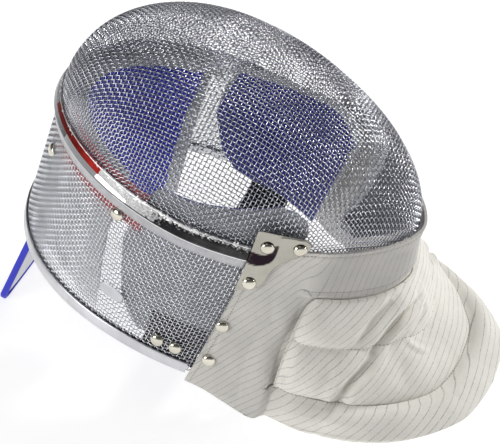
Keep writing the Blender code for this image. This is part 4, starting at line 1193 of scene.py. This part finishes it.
def build_badge():
    turn = np.arange(48) / 48 * math.tau
    along, across = (np.sign(way) * np.abs(way) ** 0.6 / 2 for way in (np.cos(turn), np.sin(turn)))
    along, across = along * BADGE["length"], across * BADGE["height"]
    rings = [side_offset(BADGE["y"] + along * size, BADGE["z"] - across * size, GAP + height * MM + 0 * along)
             for size, height in BADGE_RINGS]
    right = both_sides(rings)[1][1]
    skin("bare_badge", right, "badge", "badge_plastic", "side_badge")


# The solder: tries at a drip, rows and sides of a drip's ball, and where by y the drips thicken to the jaw.
DRIPS, DRIP_BALL, DRIPS_FROM, DRIPS_FADE = 760, (7, 10), 72 * MM, 60 * MM
BEAD_SIDES, BEAD_OFFSET, BEAD_TOP = 8, 1.1 * MM, -0.4 * MM
UP = np.array([0, 0, 1.0])


def build_solder():
    """Silver solder where the band meets the front mesh."""
    points, out = arch(level_at(BEAD_TOP), (BAND_END_Y, BAND_END_Y), 700)
    draw = np.random.default_rng(11)
    build_bead(points, out, draw)
    build_drips(points, out, draw)


def build_bead(points, out, draw):
    """A thin uneven bead along the band's top."""
    lumps = np.convolve(draw.random(len(points) + 8), np.ones(5) / 5, "same")[4:-4]
    size = (0.30 + 0.40 * lumps[:, None]) * MM
    turn = np.arange(BEAD_SIDES)[:, None] / BEAD_SIDES * math.tau
    middle = points + out * (BEAD_OFFSET + size * 0.25)
    rings = middle[:, None] + size[:, None] * (np.cos(turn) * out[:, None] * 0.8 + np.sin(turn) * UP * 1.15)
    skin("solder_seam", rings, "solder", "chrome")


def build_drips(points, out, draw):
    """Ragged drips down the band's bevel, which thicken towards the jaw."""
    band = np.array(BAND_PROFILE[:FOOT + 1]) * MM
    rows, sides = DRIP_BALL
    levels, wraps = grid(np.linspace(0, np.pi, rows), np.arange(sides) / sides * math.tau)
    ball = np.stack([np.sin(levels) * np.cos(wraps), np.sin(levels) * np.sin(wraps), np.cos(levels)], -1)
    ball_faces = np.array(ring_faces(rows, sides, caps=False)[0])
    shapes, faces = [], []
    for _ in range(DRIPS):
        spot = draw.integers(0, len(points))
        heavy = float(smooth((DRIPS_FROM - points[spot, 1]) / DRIPS_FADE))
        if draw.random() > 0.12 + 0.88 * heavy:
            continue
        drop = draw.random() ** 1.6 * (1.6 + 3.4 * heavy) * MM
        rise = np.interp(drop, -band[:, 1].clip(max=0), band[:, 0])
        along = np.cross(UP, out[spot])
        slope = -UP * 0.93 + out[spot] * 0.36
        face = np.cross(along, slope)
        face *= np.sign(face @ out[spot])
        turned = draw.normal(0.0, 0.7)
        long = along * math.cos(turned) + slope * math.sin(turned)
        short = slope * math.cos(turned) - along * math.sin(turned)
        length = (0.7 + 1.9 * draw.random() ** 2) * MM
        width = (0.35 + 0.6 * draw.random()) * MM
        centre = points[spot] * np.array([1, 1, 0]) + out[spot] * rise - UP * drop
        ragged = 1 + 0.25 * draw.normal(size=(rows, sides, 1)).clip(-1, 1)
        shape = centre + (ball[..., :1] * long * length + ball[..., 1:2] * short * width) * ragged
        faces.append(ball_faces + len(shapes) * rows * sides)
        shapes.append((shape + ball[..., 2:] * face * 0.3 * MM).reshape(-1, 3))
    piece("solder_drips", np.concatenate(shapes), np.concatenate(faces).tolist(), "solder", "chrome")


# The tape's reach round the crown, and its folded section: how far in from the wall, and z, in mm.
TAPE_REACH = (-1.36, -0.42)
TAPE_SECTION = ((4.7, -31), (4.7, -18), (4.7, -6), (5.0, -4.8), (5.9, -4.3), (10.5, -4.1),
                (10.5, -4.6), (6.1, -4.8), (5.4, -5.2), (5.2, -6.2), (5.2, -18), (5.2, -31))


def build_tape():
    """Red tape folded over the crown pad's front edge on the right-hand side, reaching past its end."""
    angles = np.linspace(*TAPE_REACH, 90)
    walls = [(inward, wall_at(angles, np.full(angles.shape, z * MM))) for inward, z in TAPE_SECTION]
    rings = np.stack([points - out * inward * MM for inward, (points, out) in walls], 1)
    tape = skin("red_tape_edge", rings, "tape", "blue_fabric")


# ---------------------------------------------------------------- strap and tongue

STRAP = dict(width=33 * MM, thickness=1.6 * MM, centre_y=-22 * MM, cord_depth=0.18 * MM, cords=6)
# The strap's path: z where it leaves the tabs, then how far in and down it goes, in mm.
STRAP_TURN = (-113, -117, -121)
STRAP_BEND = ((2.5, 5), (8, 8.5), (22, 10), (50, 11), (80, 11.5))
TAB = dict(front_y=-3 * MM, rear_y=-45 * MM, top=-86 * MM, bottom=-121 * MM, seat=-3.7 * MM,
           thickness=1.5 * MM)
TONGUE = dict(half_width=48.5 * MM, thickness=5.6 * MM, corner=14 * MM, binding=5 * MM, overlap=1.5 * MM)
TONGUE_TOP = (111.9 * MM, -119 * MM)
TONGUE_LEAN = math.atan(0.15)
SPRING = dict(half_width=12.5 * MM, thickness=1.0 * MM, edge=0.6 * MM)
# The spring strip's path, as y and z in mm, and how far down the tongue it ends.
SPRING_PATH = ((128.7, -58), (130.2, -90), (130.8, -118), (129.0, -135), (124.0, -143))
SPRING_SEAT = (30 * MM, 48 * MM, 66 * MM)


def build_strap():
    y, z = grid(np.linspace(TAB["front_y"], TAB["rear_y"], 24), np.linspace(TAB["top"], TAB["bottom"], 18))
    inner = TAB["seat"] - TAB["thickness"]
    rings = shell(side_offset(y, z, TAB["seat"] + 0 * y), side_offset(y, z, inner + 0 * y))
    for side, turned in both_sides(rings):
        tab = skin("tab_web_" + side, turned, "black", "black_webbing", "strap_tab_" + side, sharp=50)
    half = STRAP["width"] / 2
    low, high = STRAP["centre_y"] - half, STRAP["centre_y"] + half
    spread, seat = np.array([low, STRAP["centre_y"], high]), np.full(3, inner - 2 * GAP)
    path = [(side_offset(spread, np.full(3, z * MM), seat)[:, 0].min(), z * MM) for z in STRAP_TURN]
    path += [(path[2][0] - inward * MM, path[2][1] - drop * MM) for inward, drop in STRAP_BEND]
    path = curve(np.array(path + [(-x, z) for x, z in path[::-1]]), 121)
    along = np.gradient(path, axis=0)
    inward = unit(np.stack([along[:, 1], 0 * along[:, 0], -along[:, 0]], -1))[:, None]
    across = np.linspace(low, high, 25)
    waves = np.cos((across - low) / STRAP["width"] * math.tau * STRAP["cords"])
    cords = STRAP["cord_depth"] * waves[None, :, None]
    face = np.stack([np.stack([path[:, 0], np.full(len(path), y), path[:, 1]], -1) for y in across], 1)
    rings = shell(face - inward * cords, face + inward * (STRAP["thickness"] + cords))
    strap = skin("strap_web", rings, "black", "black_webbing", "back_strap", sharp=50)
    float(walked(path)[-1])


def tongue_place(x, down, depth):
    """Point of the tongue: distance down from its top, and depth out of its middle."""
    y = TONGUE_TOP[0] + down * math.sin(TONGUE_LEAN) + depth * math.cos(TONGUE_LEAN)
    z = TONGUE_TOP[1] - down * math.cos(TONGUE_LEAN) + depth * math.sin(TONGUE_LEAN)
    return above_floor(np.stack(np.broadcast_arrays(x, y, z), -1))


# The tongue inside its bound edge: its half width, its corners, and how far down from its top its foot is.
TONGUE_INSET = TONGUE["binding"] - TONGUE["overlap"]
TONGUE_SIDE, TONGUE_CORNER = TONGUE["half_width"] - TONGUE_INSET, TONGUE["corner"] - TONGUE_INSET
TONGUE_HEIGHT = REST_HEIGHT + TONGUE_TOP[0] * math.sin(PITCH) + TONGUE_TOP[1] * math.cos(PITCH)
TONGUE_FOOT = TONGUE_HEIGHT / math.cos(TONGUE_LEAN + PITCH) - TONGUE_INSET


def build_tongue_binding():
    side, corner, foot, half = TONGUE_SIDE, TONGUE_CORNER, TONGUE_FOOT, TONGUE["thickness"] / 2
    turns = np.linspace(0, np.pi / 2, 14)
    x = np.concatenate([np.full(25, -side), -side + corner * (1 - np.cos(turns))])
    down = np.concatenate([np.linspace(0, foot - corner, 26)[:-1], foot - corner + corner * np.sin(turns)])
    ways = np.concatenate([np.tile([-1.0, 0.0], (25, 1)), np.stack([-np.cos(turns), np.sin(turns)], -1)])
    x = np.concatenate([x, np.linspace(-side + corner, side - corner, 22)[1:-1], -x[::-1]])
    down = np.concatenate([down, np.full(20, foot), down[::-1]])
    ways = np.concatenate([ways, np.tile([0.0, 1.0], (20, 1)), ways[::-1] * np.array([-1, 1])])
    angle = np.arange(24) / 24 * math.tau
    depth = np.sign(np.sin(angle)) * np.abs(np.sin(angle)) ** 0.55 * 0.95 * half
    reach = (0.5 - 0.5 * np.cos(angle)) * TONGUE_INSET
    rings = tongue_place(x[:, None] + ways[:, :1] * reach, down[:, None] + ways[:, 1:] * reach, depth)
    binding = skin("tongue_bound_edge", rings, "blue", "blue_fabric", "tongue_binding")


def build_tongue_pad():
    side, corner, foot, half = TONGUE_SIDE, TONGUE_CORNER, TONGUE_FOOT, TONGUE["thickness"] / 2
    downs = (foot - 0.4 * MM) * np.sin(np.linspace(0, 1, 40) * np.pi / 2)
    over = np.maximum(0, downs - (foot - corner)) / corner
    wide = side - corner * (1 - np.sqrt(np.maximum(0, 1 - over ** 2))) - 0.3 * MM
    angle = np.arange(48) / 48 * math.tau
    across = np.sign(np.cos(angle)) * np.abs(np.cos(angle)) ** 0.5
    thick = np.sign(np.sin(angle)) * np.abs(np.sin(angle)) ** 0.8 * 0.82 * half
    fullness = 0.55 + 0.45 * np.sqrt(np.sin(np.pi * np.clip(np.linspace(0, 1, 40), 0.03, 0.97)))
    rings = tongue_place(wide[:, None] * across, downs[:, None] + 0 * across, fullness[:, None] * thick)
    pad = skin("tongue_cushion", rings, "pale", "grey_lining", "tongue_pad")


def build_spring():
    wide, thick, edge = SPRING["half_width"], SPRING["thickness"], SPRING["edge"]
    seat = tongue_place(0.0, np.array(SPRING_SEAT), 0.4 * TONGUE["thickness"] + GAP + thick)
    path = curve(np.concatenate([[(0, y * MM, z * MM) for y, z in SPRING_PATH], seat]), 71)
    outline = [(-wide, -0.2), (-wide + edge, 0), (wide - edge, 0), (wide, -0.2),
               (wide, -0.8), (wide - edge, -1), (-wide + edge, -1), (-wide, -0.8)]
    rings = path[:, None] + np.array([(x, depth * thick, 0) for x, depth in outline])
    skin("spring_strip", rings, "rim", "aluminium", "tongue_spring", sharp=40)


# ---------------------------------------------------------------- light and camera

# The photograph's camera, fitted to the mask's outline: degrees, metres, and pixels of its 500 x 444 picture.
CAMERA = dict(azimuth=-61.0954, elevation=40.581, roll=-7.6902, distance=1.3333, focal_px=1813.2424,
              width_px=500)
CAMERA_TARGET = np.array([0.0, -0.0062, -0.0702])
SENSOR_WIDTH = 36.0


def add_object(name, data):
    made = bpy.data.objects.new(name, data)
    bpy.context.scene.collection.objects.link(made)
    return made


def aim_camera():
    azimuth, elevation, roll = (math.radians(CAMERA[key]) for key in ("azimuth", "elevation", "roll"))
    back = Vector((math.sin(azimuth) * math.cos(elevation), -math.cos(azimuth) * math.cos(elevation),
                   math.sin(elevation)))
    right = (-back).cross(Vector((0, 0, 1))).normalized()
    up = right.cross(-back)
    tilted_right = right * math.cos(roll) + up * math.sin(roll)
    tilted_up = up * math.cos(roll) - right * math.sin(roll)
    camera = add_object("camera", bpy.data.cameras.new("camera"))
    place = Matrix((tilted_right, tilted_up, back)).transposed().to_4x4()
    place.translation = Vector(CAMERA_TARGET + MASK_ORIGIN) + back * CAMERA["distance"]
    camera.matrix_world = place
    camera.data.sensor_width = SENSOR_WIDTH
    camera.data.lens = SENSOR_WIDTH * CAMERA["focal_px"] / CAMERA["width_px"]
    bpy.context.scene.camera = camera


# Each soft light's place, its size and its power. All of them face the mask's middle.
LIGHTS = {
    "key": ((1.1, -0.9, 1.7), (0.5, 0.5), 20),
    "low": ((0.8, -1.5, 0.55), (0.5, 0.3), 10),
    "side": ((-1.3, 0.8, 0.8), (0.9, 0.9), 13),
    "top": ((-0.2, 0.2, 2.2), (1.2, 1.2), 3),
}
LIGHT_AIM = Vector((0, 0, 0.1))
# Brightness of the room by the height of the view: a pale floor's glow, a dim room and a dark ceiling.
SKY = ((-1.0, 0.9), (0.0, 0.56), (0.06, 0.34), (0.25, 0.18), (0.5, 0.09), (1.0, 0.07))
SKY_TINT = np.array([0.97, 0.985, 1.0])
FLOOR_REACH = 6.0


def build_floor():
    def build(s):
        s.set(Base_Color=s.ramp(s.noise(3, 2), (0.3, 0.54), (0.7, 0.56)), Roughness=0.9)
        s.set(Emission_Color=(1, 1, 1), Emission_Strength=0.72)
    mesh = bpy.data.meshes.new("floor")
    corners = [(x * FLOOR_REACH, y * FLOOR_REACH, 0) for x, y in ((-1, -1), (1, -1), (1, 1), (-1, 1))]
    mesh.from_pydata(corners, [], [(0, 1, 2, 3)])
    mesh.materials.append(shade("pale_floor", build))
    add_object("floor", mesh)


def build_sky():
    world = bpy.data.worlds.new("studio")
    world.use_nodes = True
    nodes, links = world.node_tree.nodes, world.node_tree.links
    split, height = nodes.new("ShaderNodeSeparateXYZ"), nodes.new("ShaderNodeMapRange")
    links.new(nodes.new("ShaderNodeTexCoord").outputs["Generated"], split.inputs[0])
    links.new(split.outputs[2], height.inputs[0])
    height.inputs["From Min"].default_value = -1.0
    ramp = nodes.new("ShaderNodeValToRGB")
    links.new(height.outputs[0], ramp.inputs[0])
    while len(ramp.color_ramp.elements) < len(SKY):
        ramp.color_ramp.elements.new(0.5)
    for stop, (place, level) in zip(ramp.color_ramp.elements, SKY):
        stop.position, stop.color = 0.5 + 0.5 * place, (*(level * SKY_TINT), 1)
    links.new(ramp.outputs[0], nodes["Background"].inputs[0])
    bpy.context.scene.world = world


def build_lights():
    for name, (place, size, power) in LIGHTS.items():
        light = bpy.data.lights.new(name, "AREA")
        light.shape, light.energy = "RECTANGLE", power
        light.size, light.size_y = size
        made = add_object(name, light)
        made.location = place
        made.rotation_euler = (LIGHT_AIM - Vector(place)).to_track_quat("-Z", "Y").to_euler()


build_front_mesh()
build_side_mesh()
build_trims()
build_solder()
build_tape()
build_bib()
build_crown_pad()
build_cheek_pads()
build_chin_pad()
build_plates()
build_rivets()
build_badge()
build_strap()
build_tongue_binding()
build_tongue_pad()
build_spring()
aim_camera()
build_floor()
build_sky()
build_lights()
bpy.context.scene.view_settings.view_transform = "Standard"
